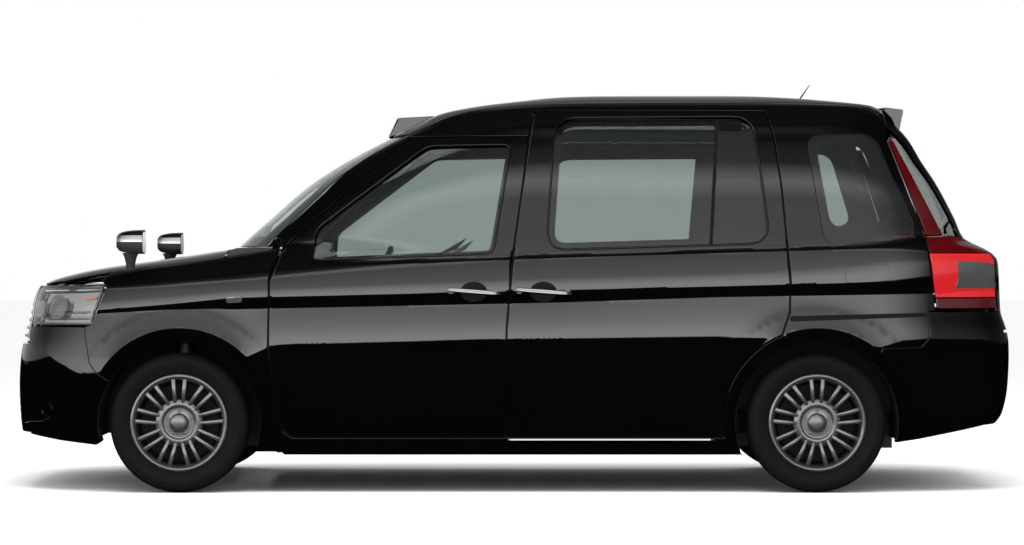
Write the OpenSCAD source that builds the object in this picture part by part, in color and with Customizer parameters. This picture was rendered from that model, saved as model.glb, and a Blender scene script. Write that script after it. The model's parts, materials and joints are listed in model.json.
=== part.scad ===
// Four-door taxi cab: tall body, sliding rear door on the left, hinged doors elsewhere.
// +X points to the rear, -Y is the vehicle's left side, +Z is up, the floor is z = 0.

/* [Overall] */
// Distance between the front and rear axles
wheelbase = 2750; // [2650:10:3300]
// Body width over the door panels
body_width = 1695; // [1620:5:2040]
// Height of the roof skin above the floor
roof_height = 1748; // [1700:4:2100]
// Front of the bumper to the front axle
front_overhang = 765; // [765:5:900]
// Rear axle to the back of the rear bumper
rear_overhang = 885; // [885:5:1000]

/* [Wheels] */
// Outer radius of the tyres
tyre_radius = 301; // [290:1:310]
// Width of the tyres
tyre_width = 185; // [165:5:195]
// Radius of the rim where the tyre seats
rim_radius = 190.5; // [178:0.5:203]
// Distance between the middles of two tyres on one axle
track = 1480; // [1470:2:1484]
// Radius of the wheel arch openings
arch_radius = 352; // [348:1:360]
// Distance from a steering axis inboard of the tyre's middle
kingpin_offset = 60; // [50:1:65]

/* [Panels] */
// Thickness of outer skins
skin = 8; // [6:1:10]
// Thickness of doors and sides below the belt line
door_wall = 90; // [80:1:100]
// Thickness of window frames and pillars above the belt line
frame_wall = 50; // [45:1:55]
// Thickness of the roof with its lining
roof_wall = 30; // [24:1:36]
// Shut line between neighbouring outer panels
shut_gap = 6; // [5:0.5:8]
// Gap round the tailgate, which narrows as it swings
lid_gap = 10; // [9:0.5:12]
// Width of the lip that a door skin lays over its pillar
door_lip = 36; // [34:1:40]
// Thickness of the window panes
pane = 5; // [4:0.5:6]

/* [Fittings] */
// Radius of the wheel spindles
spindle_radius = 30; // [26:1:32]
// Radius of the ball joint pins on the steering axes
kingpin_radius = 12; // [10:1:14]
// Radius of the steering wheel rim
steering_wheel_radius = 185; // [175:1:190]
// Spacing of the two bolt holes for each number plate
plate_hole_spacing = 210; // [200:1:220]
// Radius of the number plate bolt holes
plate_hole_radius = 3.5; // [3:0.5:4]

/* [Hidden] */

LEFT = -1;
RIGHT = 1;
body_length = front_overhang + wheelbase + rear_overhang;
front_axle_x = front_overhang - body_length / 2;
rear_axle_x = front_axle_x + wheelbase;
tyre_y = track / 2;
kingpin_y = tyre_y - kingpin_offset;
running_gap = 0.05;
glass_gap = 0.6;
lip_clearance = 16;
half_x = 1.5 * body_length;

// Stations are written for the standard car: [standard x, x on this car].
STATIONS = [[-2600, -body_length / 2 - 400], [-2200, -body_length / 2],
    [-1435, front_axle_x], [-1035, front_axle_x + 400],
    [915, rear_axle_x - 400], [1315, rear_axle_x],
    [2200, body_length / 2], [2600, body_length / 2 + 400]];
// Heights are written for the standard car: [standard z, z on this car].
LEVELS = [[-100, -100], [0, 0], [1000, 1000], [1748, roof_height], [2200, roof_height + 452]];
function sx(x) = lookup(x, STATIONS);
function sz(z) = lookup(z, LEVELS);
function sy(y) = y * body_width / 1695;
function side_points(points) = [for (p = points) [sx(p[0]), sz(p[1])]];
function plan_points(points) = [for (p = points) [sx(p[0]), sy(p[1])]];
function end_points(points) = [for (p = points) [sy(p[0]), sz(p[1])]];

// Body form: the outline at each height is a rounded box, [z, front x, rear x, half width].
FORM = [
    [162, -2060, 2040, 790], [200, -2150, 2090, 800], [246, -2188, 2112, 818],
    [330, -2196, 2172, 828], [450, -2200, 2195, 838], [573, -2192, 2200, 844],
    [640, -2182, 2198, 847.5], [700, -2167, 2188, 842], [787, -2143, 2162, 836],
    [829, -2134, 2160, 834], [880, -2121, 2158, 838], [908, -2065, 2157, 836],
    [940, -1960, 2156, 832], [966, -1836, 2154, 829], [1000, -1600, 2150, 822],
    [1034, -1370, 2125, 817], [1058, -1234, 2083, 812], [1098, -1188, 2003, 800],
    [1183, -1090, 1965, 775], [1341, -907, 1885, 727], [1441, -752, 1822, 694],
    [1534, -579, 1770, 659], [1600, -440, 1711, 630], [1656, -329, 1660, 575],
    [1686, -195, 1626, 515], [1715, 20, 1407, 430], [1736, 218, 1150, 290],
    [1745, 560, 950, 120], [1748, 744, 746, 2]];
nose_power = 5;
tail_power = 7;
// Angles within a quarter of an outline, closer near its flat middles and clear of them
RING = [1, 5, 11, 20, 32, 45, 58, 70, 79, 85, 89];
ring_count = 4 * len(RING);

// One level of the form, moved inwards by depth; flat tops move down as well
function inset_row(row, depth) =
    let (lift = depth * lookup(row[0], [[640, 0], [900, 1]]),
        middle = (sx(row[1]) + sx(row[2])) / 2,
        half = max((sx(row[2]) - sx(row[1])) / 2 - depth, 1))
    [sz(row[0]) - lift, middle, half, max(sy(row[3]) - depth, 1)];
function ring_points(row) =
    [for (quarter = [0:3], step = RING)
        let (angle = 90 * quarter + step, c = cos(angle), s = sin(angle),
            power = 2 / (c < 0 ? nose_power : tail_power))
        [row[1] + row[2] * sign(c) * pow(abs(c), power),
            row[3] * sign(s) * pow(abs(s), power), row[0]]];

// Solid body form at a depth under the skin, which may differ below and above the belt
module form(low_depth, high_depth) {
    rows = [for (row = FORM)
        inset_row(row, lookup(row[0], [[1000, low_depth], [1058, high_depth]]))];
    foot = low_depth > 0 ? [concat([rows[0][0] - 60], [rows[0][1], rows[0][2], rows[0][3]])] : [];
    all = concat(foot, rows);
    last = len(all) - 1;
    n = ring_count;
    polyhedron(
        points = [for (row = all) each ring_points(row)],
        faces = concat(
            [[for (j = [0:n - 1]) j]],
            [[for (j = [n - 1:-1:0]) last * n + j]],
            [for (i = [0:last - 1], j = [0:n - 1])
                [i * n + j, (i + 1) * n + j, (i + 1) * n + (j + 1) % n]],
            [for (i = [0:last - 1], j = [0:n - 1])
                [i * n + j, (i + 1) * n + (j + 1) % n, i * n + (j + 1) % n]]));
}

// Everything between two depths under the skin
module wall(outer_depth, low_depth, high_depth) {
    difference() {
        form(outer_depth, outer_depth);
        form(low_depth, high_depth);
    }
}

// Curved panels are cut as one mesh
module panel() { resize([0, 0, 0]) children(); }

// Prism through one side of the body, from a side view outline
module side_prism(side, inner_y = 250) {
    translate([0, side > 0 ? inner_y : -inner_y, 0]) rotate([90, 0, 0])
        mirror([0, 0, side > 0 ? 1 : 0]) linear_extrude(1200) children();
}
// Prism through an end of the body, from an outline in y and z
module end_prism(x0, x1) {
    translate([x0, 0, 0]) rotate([90, 0, 90]) linear_extrude(x1 - x0) children();
}
// Upright prism from a plan outline
module plan_prism(z0, z1) { translate([0, 0, z0]) linear_extrude(z1 - z0) children(); }
module both_sides() {
    children();
    mirror([0, 1, 0]) children();
}

// ---- Outlines in the side view, standard stations and levels ----
B_LINE = [[-27, 250], [-23, 702], [3, 1020], [77, 1539]];
FRONT_DOOR = concat([[-452, 1539], [-1002, 1042], [-1043, 917], [-1047, 637], [-1026, 452],
    [-983, 273], [-950, 241], [-33, 241]], [for (p = B_LINE) p - [shut_gap / 2, 0]]);
door_arc_radius = 411;
REAR_DOOR_TAIL = [[1167, 706], [1193, 777], [1197, 895], [1186, 1044], [1166, 1317], [1138, 1542]];
FRONT_GLASS = [[-6, 1505], [-369, 1500], [-850, 1137], [-864, 1005], [-83, 1033]];
QUARTER_GLASS = [[1279, 1547], [1578, 1560], [1762, 1102], [1352, 1057]];
LAMP_TAIL = [[1646, 1530], [1672, 1530], [1905, 1108], [2300, 1108], [2300, 790], [1834, 790],
    [1790, 1110]];
HEADLAMP = [[-2300, 714], [-1818, 722], [-1763, 894], [-2300, 894]];
FENDER_SEAM = [[-1700, 190], [-1700, 450], [-1803, 520], [-1829, 556], [-1847, 657], [-1854, 712]];
QUARTER_SEAM = [[1560, 200], [1560, 400], [1592, 622], [1765, 628], [1796, 665], [1803, 784]];

module rear_door_outline(top) {
    polygon(concat(
        side_points([for (p = B_LINE) p + [shut_gap / 2, 0]]), side_points([[100, top], [1105, top]]),
        side_points([for (i = [len(REAR_DOOR_TAIL) - 1:-1:0]) REAR_DOOR_TAIL[i]]),
        [for (a = [120:12.4:182]) [rear_axle_x, tyre_radius] + door_arc_radius * [cos(a), sin(a)]],
        side_points([[872, 241]])));
}
module rear_window(top, bottom, back) {
    offset(60) offset(-60)
        polygon(side_points([[191, top], [back - 60, top + 6], [back, bottom + 30], [149, bottom]]));
}
module side_outline(points) { polygon(side_points(points)); }
module windshield_outline() {
    polygon(end_points([[-655, 1062], [-605, 1300], [-500, 1548],
        [500, 1548], [605, 1300], [655, 1062]]));
}
module tailgate_outline() {
    polygon(end_points([[-615, 696], [-630, 1000], [-560, 1600], [-520, 1760],
        [520, 1760], [560, 1600], [630, 1000], [615, 696]]));
}
module tailgate_window() {
    offset(50) offset(-50)
        polygon(end_points([[-560, 1115], [-495, 1570], [495, 1570], [560, 1115]]));
}
hood_rear_x = sx(-1250);
HOOD_SIDE = [[-1250, 702], [-1360, 702], [-1700, 668], [-1960, 600], [-2080, 470], [-2300, 400]];
module hood_outline() {
    polygon(plan_points(concat(HOOD_SIDE,
        [for (i = [len(HOOD_SIDE) - 1:-1:0]) [HOOD_SIDE[i][0], -HOOD_SIDE[i][1]]])));
}
hood_edge_z = 896;
// Room that the closed and the rising hood needs in the panels round it
module hood_clearance() {
    plan_prism(hood_edge_z - lid_gap, 3000) offset(delta = lid_gap) hood_outline();
}
tailgate_edge_x = sx(1640);
windshield_top_z = sz(1548);

// ---- Doors ----
// Skin over a thicker inner body, cut for its window; the pane seats behind a narrow lip
module door(side) {
    panel() difference() {
        union() {
            intersection() {
                wall(0, skin, skin);
                side_prism(side) children(0);
            }
            intersection() {
                wall(skin / 2, door_wall, frame_wall);
                side_prism(side) offset(delta = -door_lip) children(0);
            }
        }
        side_prism(side) children(1);
        intersection() {
            form(skin - 2, skin - 2);
            side_prism(side) offset(delta = 10) children(1);
        }
    }
}
module door_aperture(side) {
    side_prism(side) offset(delta = lip_clearance - door_lip) children(0);
    difference() {
        side_prism(side) offset(delta = shut_gap) children(0);
        form(skin + shut_gap, skin + shut_gap);
    }
}
module pane_in(side) {
    panel() intersection() {
        wall(skin - 2 + glass_gap, skin - 2 + glass_gap + pane, skin - 2 + glass_gap + pane);
        side_prism(side) offset(delta = 10 - glass_gap) children();
    }
}
// Pull handle standing off the door skin on two feet
module handle(side, x0, x1) {
    y = sy(836);
    z = 858;
    for (x = [x0 + 22, x1 - 22])
        translate([x - 14, side > 0 ? y - 16 : -y - 14, z - 14]) cube([28, 30, 28]);
    translate([x0, side > 0 ? y + 10 : -y - 24, z - 15]) cube([x1 - x0, 14, 30]);
}

module front_door_left() {
    color("black") {
        door(LEFT) { side_outline(FRONT_DOOR); side_outline(FRONT_GLASS); }
        handle(LEFT, sx(-282), sx(-47));
    }
}
module front_door_right() {
    color("black") {
        door(RIGHT) { side_outline(FRONT_DOOR); side_outline(FRONT_GLASS); }
        handle(RIGHT, sx(-282), sx(-47));
    }
}
module sliding_door_left() {
    color("black") {
        door(LEFT) { rear_door_outline(1652); rear_window(1624, 1048, 1112); }
        handle(LEFT, sx(12), sx(258));
    }
}
module rear_door_right() {
    color("black") {
        door(RIGHT) { rear_door_outline(1560); rear_window(1515, 1048, 1112); }
        handle(RIGHT, sx(780), sx(1020));
    }
}
module front_door_glass_left() { color("teal") pane_in(LEFT) side_outline(FRONT_GLASS); }
module front_door_glass_right() { color("teal") pane_in(RIGHT) side_outline(FRONT_GLASS); }
module sliding_door_glass() { color("teal") pane_in(LEFT) rear_window(1624, 1048, 1112); }
module rear_door_glass_right() { color("teal") pane_in(RIGHT) rear_window(1515, 1048, 1112); }

// ---- Body shell ----
module arch_cut(axle_x, inner_y) {
    translate([axle_x, 0, tyre_radius]) both_sides()
        translate([0, inner_y, 0]) rotate([-90, 0, 0]) cylinder(r = arch_radius, h = 900, $fn = 72);
}
module tail_lamp_region(side, grow) {
    difference() {
        side_prism(side, sy(380)) offset(delta = grow) side_outline(LAMP_TAIL);
        end_prism(0, half_x) offset(delta = lid_gap - grow) tailgate_outline();
    }
}
module side_region() {
    side_outline(concat([[-1050, 162]], [for (p = QUARTER_SEAM) p - [0.5, 0]],
        [[1803, 785], [2400, 785], [2400, 1800], [-1050, 1800]]));
}
module body_side(side) {
    color("black") panel() difference() {
        union() {
            intersection() {
                wall(0, door_wall, frame_wall);
                side_prism(side, 0) side_region();
            }
            intersection() {
                wall(skin + 3, door_wall, frame_wall);
                side_prism(side, sy(700))
                    side_outline([[-1130, 200], [-1000, 200], [-1000, 1040], [-1130, 1010]]);
            }
        }
        door_aperture(side) side_outline(FRONT_DOOR);
        door_aperture(side) rear_door_outline(side == LEFT ? 1652 : 1560);
        side_prism(side) side_outline(QUARTER_GLASS);
        intersection() {
            form(skin - 2, skin - 2);
            side_prism(side) offset(delta = 10) side_outline(QUARTER_GLASS);
        }
        difference() {
            side_prism(side, sy(380)) offset(delta = 0.5) fender_outline();
            form(skin + 0.5, skin + 0.5);
        }
        // windshield, roof and tailgate apertures
        end_prism(-half_x, sx(300)) offset(delta = -20) windshield_outline();
        difference() {
            end_prism(-half_x, sx(300)) windshield_outline();
            form(14, 14);
        }
        plan_prism(1000, 3000) roof_outline(shut_gap);
        end_prism(sx(1500), half_x) offset(delta = lid_gap) tailgate_outline();
        plan_prism(0, 3000) square([2 * half_x, 2 * sy(380)], center = true);
        tail_lamp_region(side, 0.5);
        arch_cut(rear_axle_x, 250);
        arch_cut(front_axle_x, 250);
    }
}
module body_side_left() { body_side(LEFT); }
module body_side_right() { body_side(RIGHT); }

module roof_outline(grow) {
    offset(delta = grow) polygon(plan_points([[-700, -515], [1634, -490], [1634, 490], [-700, 515]]));
}
module roof_panel() {
    color("black") panel() difference() {
        intersection() {
            wall(0, roof_wall, roof_wall);
            plan_prism(windshield_top_z + shut_gap, 3000) roof_outline(0);
        }
        tail_lamp_region(LEFT, shut_gap);
        tail_lamp_region(RIGHT, shut_gap);
    }
}
module cowl_panel() {
    color("dimgray") panel() intersection() {
        wall(0, 20, 20);
        plan_prism(930, sz(1058)) polygon([[hood_rear_x + shut_gap, -sy(688)], [sx(-1056), -sy(688)],
            [sx(-1056), sy(688)], [hood_rear_x + shut_gap, sy(688)]]);
    }
}
module fender_outline() {
    side_outline(concat([[-1056, 175], [-990, 175], [-979, 273], [-1022, 452], [-1043, 637],
        [-1039, 917], [-998, 1046], [-1010, 1090], [-2300, 1090], [-2300, 898], [-1754, 898], [-1814, 722]],
        [for (i = [len(FENDER_SEAM) - 1:-1:0]) FENDER_SEAM[i] + [0.5, 0]]));
}
module front_fenders() {
    color("black") panel() difference() {
        intersection() {
            wall(0, skin, skin);
            union() for (side = [LEFT, RIGHT]) side_prism(side, sy(380)) fender_outline();
        }
        hood_clearance();
        plan_prism(900, 3000)
            polygon([[hood_rear_x, -sy(716)], [0, -sy(716)], [0, sy(716)], [hood_rear_x, sy(716)]]);
        door_aperture(LEFT) side_outline(FRONT_DOOR);
        door_aperture(RIGHT) side_outline(FRONT_DOOR);
        end_prism(-half_x, 0) offset(delta = 2) windshield_outline();
        end_prism(-half_x, 0) offset(delta = 2) grille_outline();
        arch_cut(front_axle_x, 250);
    }
}
module hood() {
    color("black") panel() intersection() {
        wall(0, 24, 24);
        plan_prism(hood_edge_z, 1200) difference() {
            hood_outline();
            translate([hood_rear_x, -half_x]) square([half_x, 2 * half_x]);
        }
    }
}
module headlamps() {
    color("silver") panel() difference() {
        intersection() {
            wall(0, 60, 60);
            union() for (side = [LEFT, RIGHT])
                side_prism(side, sy(500)) offset(delta = -1) side_outline(HEADLAMP);
        }
        hood_clearance();
        end_prism(-half_x, 0) offset(delta = 2) grille_outline();
    }
}
module grille_outline() {
    polygon(end_points([[-560, 640], [-470, 888], [470, 888], [560, 640]]));
}
module grille() {
    color("dimgray") panel() intersection() {
        wall(2, 30, 30);
        end_prism(-half_x, sx(-1900)) grille_outline();
    }
}
module plate_holes(x, z) {
    for (y = [-1, 1] * plate_hole_spacing / 2)
        translate([x, y, z]) rotate([0, 90, 0]) cylinder(r = plate_hole_radius, h = 50, $fn = 32);
}
plate_z_front = 420;
plate_z_rear = 560;
// Flat boss on a bumper that carries a number plate's bolts
module plate_boss(x0, z) {
    translate([x0, -plate_hole_spacing / 2 - 30, z - 35])
        cube([30, plate_hole_spacing + 60, 70]);
}
module front_bumper() {
    color("black") difference() {
        union() {
            panel() difference() {
                intersection() {
                    wall(0, 40, 40);
                    end_side() side_outline(concat(FENDER_SEAM, [[-2300, 712], [-2300, 190]]));
                }
                end_prism(-half_x, 0) offset(delta = 2) grille_outline();
                arch_cut(front_axle_x, 250);
            }
            plate_boss(sx(-2202), plate_z_front);
        }
        plate_holes(sx(-2202) - 1, plate_z_front);
    }
}
// Prism right across the body, from a side view outline
module end_side() {
    rotate([90, 0, 0]) translate([0, 0, -1000]) linear_extrude(2000) children();
}
module rear_bumper() {
    color("black") difference() {
        union() {
            panel() difference() {
                intersection() {
                    wall(0, 40, 40);
                    end_side() side_outline(concat(QUARTER_SEAM, [[2300, 784], [2300, 200]]));
                }
                end_prism(0, half_x) offset(delta = lid_gap) tailgate_outline();
                arch_cut(rear_axle_x, 250);
            }
            plate_boss(sx(2202) - 30, plate_z_rear);
        }
        plate_holes(sx(2202) - 45, plate_z_rear);
    }
}
module windshield() {
    color("teal") panel() intersection() {
        wall(3, 3 + pane, 3 + pane);
        end_prism(-half_x, sx(300)) offset(delta = -3) windshield_outline();
        plan_prism(sz(1063), windshield_top_z) square(2 * half_x, center = true);
    }
}
module quarter_glasses() {
    color("teal") for (side = [LEFT, RIGHT]) pane_in(side) side_outline(QUARTER_GLASS);
}
module tailgate() {
    color("black") panel() difference() {
        intersection() {
            wall(0, 60, 50);
            end_prism(sx(1500), half_x) tailgate_outline();
            translate([tailgate_edge_x, -half_x, 0]) cube([half_x, 2 * half_x, 3000]);
        }
        end_prism(sx(1500), half_x) tailgate_window();
        intersection() {
            form(skin - 2, skin - 2);
            end_prism(sx(1500), half_x) offset(delta = 10) tailgate_window();
        }
    }
}
module tailgate_glass() {
    color("teal") panel() intersection() {
        wall(skin - 2 + glass_gap, skin - 2 + glass_gap + pane, skin - 2 + glass_gap + pane);
        end_prism(sx(1500), half_x) offset(delta = 10 - glass_gap) tailgate_window();
    }
}
module rear_spoiler() {
    color("black") panel() difference() {
        intersection() {
            end_side() side_outline([[1650, 1700], [1755, 1682], [1738, 1590], [1650, 1600]]);
            plan_prism(1000, 3000) polygon([[sx(1500), -480], [sx(1700), -500], [half_x, -440],
                [half_x, 440], [sx(1700), 500], [sx(1500), 480]]);
        }
        form(0, 0);
    }
}
module tail_lamps() {
    color("red") panel() for (side = [LEFT, RIGHT]) intersection() {
        wall(0, 45, 30);
        tail_lamp_region(side, 0);
    }
}
module fender_mirrors() {
    color("silver") both_sides() translate([sx(-1650), -sy(765), 0]) {
        translate([0, 0, 962]) cylinder(r = 20, h = 70, $fn = 40);
        hull() for (corner = [[1035, 80], [1125, 60]], y = [-62, 62])
            translate([0, y, corner[0]]) rotate([0, 90, 0])
                cylinder(r = 12, h = corner[1], center = true, $fn = 24);
    }
}
module roof_sign() {
    color("white") panel() difference() {
        hull() for (side = [-1, 1]) translate([0, side * 165, 0]) rotate([90, 0, 0])
            linear_extrude(20, center = true)
                polygon(side_points([[-569, 1552], [-520, 1652], [-349, 1662]]));
        form(0, 0);
    }
}
module antenna() {
    color("black") hull() {
        translate([sx(1309), 0, sz(1724.5)]) cylinder(r = 9, h = 20, $fn = 16);
        translate([sx(1362), 0, sz(1802)]) cylinder(r = 2, h = 3, $fn = 16);
    }
}

// ---- Structure under the skin ----
pan_z = 205;
module wheel_houses() {
    for (side = [-1, 1]) {
        translate([front_axle_x, side * 665, tyre_radius]) rotate([90, 0, 0])
            cylinder(r = arch_radius + 8, h = 470, center = true, $fn = 72);
        translate([rear_axle_x, side * 740, tyre_radius]) rotate([90, 0, 0])
            cylinder(r = arch_radius + 8, h = 250, center = true, $fn = 72);
    }
}
module floor_pan() {
    inner_y = sy(790) - door_wall - 12;
    cabin_x0 = front_axle_x + 330;
    cabin_x1 = rear_axle_x - 180;
    color("gray") difference() {
        union() {
            // cabin floor, firewall, luggage floor and front rails
            translate([cabin_x0, -inner_y, pan_z]) cube([cabin_x1 - cabin_x0, 2 * inner_y, 40]);
            translate([cabin_x0, -inner_y, pan_z]) cube([30, 2 * inner_y, 700]);
            translate([cabin_x1 - 40, -inner_y, pan_z]) cube([40, 2 * inner_y, 285]);
            translate([cabin_x1 - 40, -inner_y, 450])
                cube([sx(1980) - cabin_x1 + 40, 2 * inner_y, 40]);
            for (side = [-1, 1]) {
                translate([sx(-2080), side * 385 - 35, 400]) cube([sx(-1000) - sx(-2080), 70, 110]);
                translate([cabin_x1 - 40, side * 520 - 35, 350]) cube([sx(2090) - cabin_x1, 70, 105]);
                // inner wheel house walls and sill rails
                translate([rear_axle_x - 380, side * 603 - 6, 352]) cube([760, 12, 398]);
                translate([cabin_x0 + 80, side * (inner_y - 30) - 30, 165])
                    cube([cabin_x1 - cabin_x0 - 120, 60, 60]);
            }
            // cross beams at both ends
            translate([sx(-2100), -420, 400]) cube([60, 840, 110]);
            translate([sx(2050), -560, 400]) cube([50, 1120, 90]);
        }
        wheel_houses();
    }
}
module engine_block() {
    color("silver") translate([sx(-1780), -300, 300]) cube([560, 600, 470]);
}
// Upright that carries the spindle and turns on the ball joint pins
module knuckle(side) {
    y = side * kingpin_y;
    color("dimgray") difference() {
        union() {
            translate([front_axle_x, y, tyre_radius - 105]) cylinder(r = 30, h = 210, $fn = 48);
            translate([front_axle_x, y, tyre_radius]) rotate([-90 * side, 0, 0])
                cylinder(r = spindle_radius, h = kingpin_offset + 36, $fn = 64);
            translate([front_axle_x, y, tyre_radius]) rotate([-90 * side, 0, 0])
                cylinder(r = 62, h = 36, $fn = 64);
            translate([front_axle_x + 20, y - 14, tyre_radius - 60]) cube([120, 28, 26]);
        }
        translate([front_axle_x, y, tyre_radius - 106])
            cylinder(r = kingpin_radius + running_gap, h = 50, $fn = 48);
        translate([front_axle_x, y, tyre_radius + 56])
            cylinder(r = kingpin_radius + running_gap, h = 50, $fn = 48);
    }
}
module front_knuckle_left() { knuckle(LEFT); }
module front_knuckle_right() { knuckle(RIGHT); }
// Upper and lower arms with the pins that the knuckles turn on, struts and cross beam
strut_y = kingpin_y - 135;
module front_suspension() {
    color("dimgray") {
        for (side = [-1, 1]) {
            translate([front_axle_x, side * kingpin_y, tyre_radius]) {
                translate([0, 0, -135]) cylinder(r = kingpin_radius, h = 75, $fn = 48);
                translate([0, 0, 60]) cylinder(r = kingpin_radius, h = 75, $fn = 48);
                for (z = [-140, 112]) translate([0, 0, z]) cylinder(r = 24, h = 26, $fn = 48);
            }
            for (z = [-140, 112])
                translate([front_axle_x - 20, side > 0 ? strut_y : -kingpin_y, tyre_radius + z])
                    cube([40, kingpin_y - strut_y, 26]);
            translate([front_axle_x, side * strut_y, tyre_radius - 140])
                cylinder(r = 36, h = 480, $fn = 48);
            translate([front_axle_x - 30, side > 0 ? 380 : -strut_y, tyre_radius - 140])
                cube([60, strut_y - 380, 40]);
        }
        translate([front_axle_x - 60, -420, tyre_radius - 140]) cube([120, 840, 50]);
    }
}
module rear_axle() {
    color("dimgray") {
        translate([rear_axle_x, 0, tyre_radius]) rotate([90, 0, 0])
            cylinder(r = 40, h = 2 * (tyre_y - 95), center = true, $fn = 64);
        translate([rear_axle_x, 0, tyre_radius]) rotate([90, 0, 0])
            cylinder(r = spindle_radius, h = 2 * (tyre_y + 36), center = true, $fn = 64);
        for (side = [-1, 1]) translate([rear_axle_x - 180, side * 520 - 20, tyre_radius - 20])
            cube([190, 40, 40]);
    }
}
exhaust_y = -120;
module exhaust() {
    color("gray") {
        translate([sx(-900), exhaust_y, 175]) rotate([0, 90, 0])
            cylinder(r = 25, h = sx(1700) - sx(-900), $fn = 32);
        // riser behind the axle, and the silencer above the bumper's lower edge
        translate([sx(1700) - 40, exhaust_y - 30, 152]) cube([60, 60, 158]);
        translate([sx(1700), exhaust_y - 110, 240]) cube([300, 220, 105]);
        translate([sx(100), exhaust_y - 80, 142]) cube([420, 160, 57]);
    }
}

// ---- Wheels ----
module tyre(x, side) {
    bead = rim_radius;
    shoulder = tyre_radius - 18;
    half = tyre_width / 2;
    color("black") translate([x, side * tyre_y, tyre_radius]) rotate([90, 0, 0])
        rotate_extrude($fn = 96) polygon([[bead, -half + 22], [bead + 30, -half + 4],
            [(bead + shoulder) / 2, -half], [shoulder, -half + 12], [tyre_radius - 3, -half + 30],
            [tyre_radius, -half + 50], [tyre_radius, half - 50], [tyre_radius - 3, half - 30],
            [shoulder, half - 12], [(bead + shoulder) / 2, half], [bead + 30, half - 4],
            [bead, half - 22]]);
}
spoke_pairs = 9;
module wheel(x, side) {
    half = tyre_width / 2 - 22;
    color("silver") translate([x, side * tyre_y, tyre_radius]) rotate([90 * side, 0, 0])
        mirror([0, 0, 1]) difference() {
            union() {
                difference() {
                    translate([0, 0, -half]) cylinder(r = rim_radius, h = 2 * half, $fn = 96);
                    translate([0, 0, -half - 1]) cylinder(r = rim_radius - 10, h = 2 * half + 2, $fn = 96);
                }
                translate([0, 0, 34]) cylinder(r = rim_radius - 5, h = 12, $fn = 96);
                translate([0, 0, -20]) cylinder(r = 68, h = 66, $fn = 64);
            }
            for (i = [0:spoke_pairs - 1]) rotate([0, 0, 360 / spoke_pairs * (i + 0.5)])
                translate([110, -22, 30]) cube([58, 44, 20]);
            translate([0, 0, -22]) cylinder(r = spindle_radius + running_gap, h = 60, $fn = 64);
        }
}
module tyre_front_left() { tyre(front_axle_x, LEFT); }
module tyre_front_right() { tyre(front_axle_x, RIGHT); }
module tyre_rear_left() { tyre(rear_axle_x, LEFT); }
module tyre_rear_right() { tyre(rear_axle_x, RIGHT); }
module wheel_front_left() { wheel(front_axle_x, LEFT); }
module wheel_front_right() { wheel(front_axle_x, RIGHT); }
module wheel_rear_left() { wheel(rear_axle_x, LEFT); }
module wheel_rear_right() { wheel(rear_axle_x, RIGHT); }

// ---- Cabin ----
seat_y = 360;
module dashboard() {
    color("dimgray") translate([sx(-1000), -620, 640]) cube([260, 1240, 330]);
}
module steering_wheel() {
    color("black") translate([sx(-640), seat_y, 900]) rotate([0, -65, 0]) {
        rotate_extrude($fn = 64) translate([steering_wheel_radius - 14, 0]) circle(r = 14, $fn = 24);
        for (a = [0, 120, 240]) rotate([0, 0, a])
            translate([30, -14, -8]) cube([steering_wheel_radius - 40, 28, 16]);
        translate([0, 0, -24]) cylinder(r = 60, h = 40, $fn = 48);
    }
}
seat_base_z = 245;
cushion_z = [330, 500];
backrest_lean = 12;
// Cushion, leaning backrest and plinth of a seat
module seat(width) {
    translate([-260, -width / 2, cushion_z[0]]) cube([480, width, cushion_z[1] - cushion_z[0]]);
    translate([150, -width / 2, cushion_z[1]]) rotate([0, backrest_lean, 0]) cube([110, width, 560]);
    translate([-120, -width / 2 + 60, seat_base_z])
        cube([300, width - 120, cushion_z[0] - seat_base_z + 2]);
}
module headrest(x, y) {
    translate([x + 285, y - 125, 1066]) rotate([0, backrest_lean, 0]) cube([80, 250, 170]);
}
module front_seats() {
    color("gray") for (side = [-1, 1]) {
        translate([sx(-330), side * seat_y, 0]) seat(500);
        headrest(sx(-330), side * seat_y);
    }
}
module rear_bench() {
    color("gray") {
        translate([sx(830), 0, 0]) seat(1180);
        for (y = [-seat_y, seat_y]) headrest(sx(830), y);
    }
}

floor_pan();
body_side_left();
body_side_right();
roof_panel();
cowl_panel();
front_fenders();
hood();
grille();
front_bumper();
rear_bumper();
windshield();
front_door_left();
front_door_right();
sliding_door_left();
rear_door_right();
front_door_glass_left();
front_door_glass_right();
sliding_door_glass();
rear_door_glass_right();
quarter_glasses();
tailgate();
tailgate_glass();
rear_spoiler();
headlamps();
tail_lamps();
fender_mirrors();
roof_sign();
antenna();
engine_block();
front_suspension();
rear_axle();
exhaust();
front_knuckle_left();
front_knuckle_right();
tyre_front_left();
tyre_front_right();
tyre_rear_left();
tyre_rear_right();
wheel_front_left();
wheel_front_right();
wheel_rear_left();
wheel_rear_right();
dashboard();
steering_wheel();
front_seats();
rear_bench();
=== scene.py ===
"""Looks of a tall black taxi cab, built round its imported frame.

Lengths are in millimetres inside the classes and become metres when a mesh is made.
+X points to the rear, -Y is the vehicle's left side and +Z is up.
"""
import json
import logging
import math
import sys
from dataclasses import dataclass, field
from enum import Enum
from typing import Callable, Sequence

import bmesh
import bpy
import numpy as np
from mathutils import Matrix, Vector
from mathutils.geometry import delaunay_2d_cdt

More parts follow.
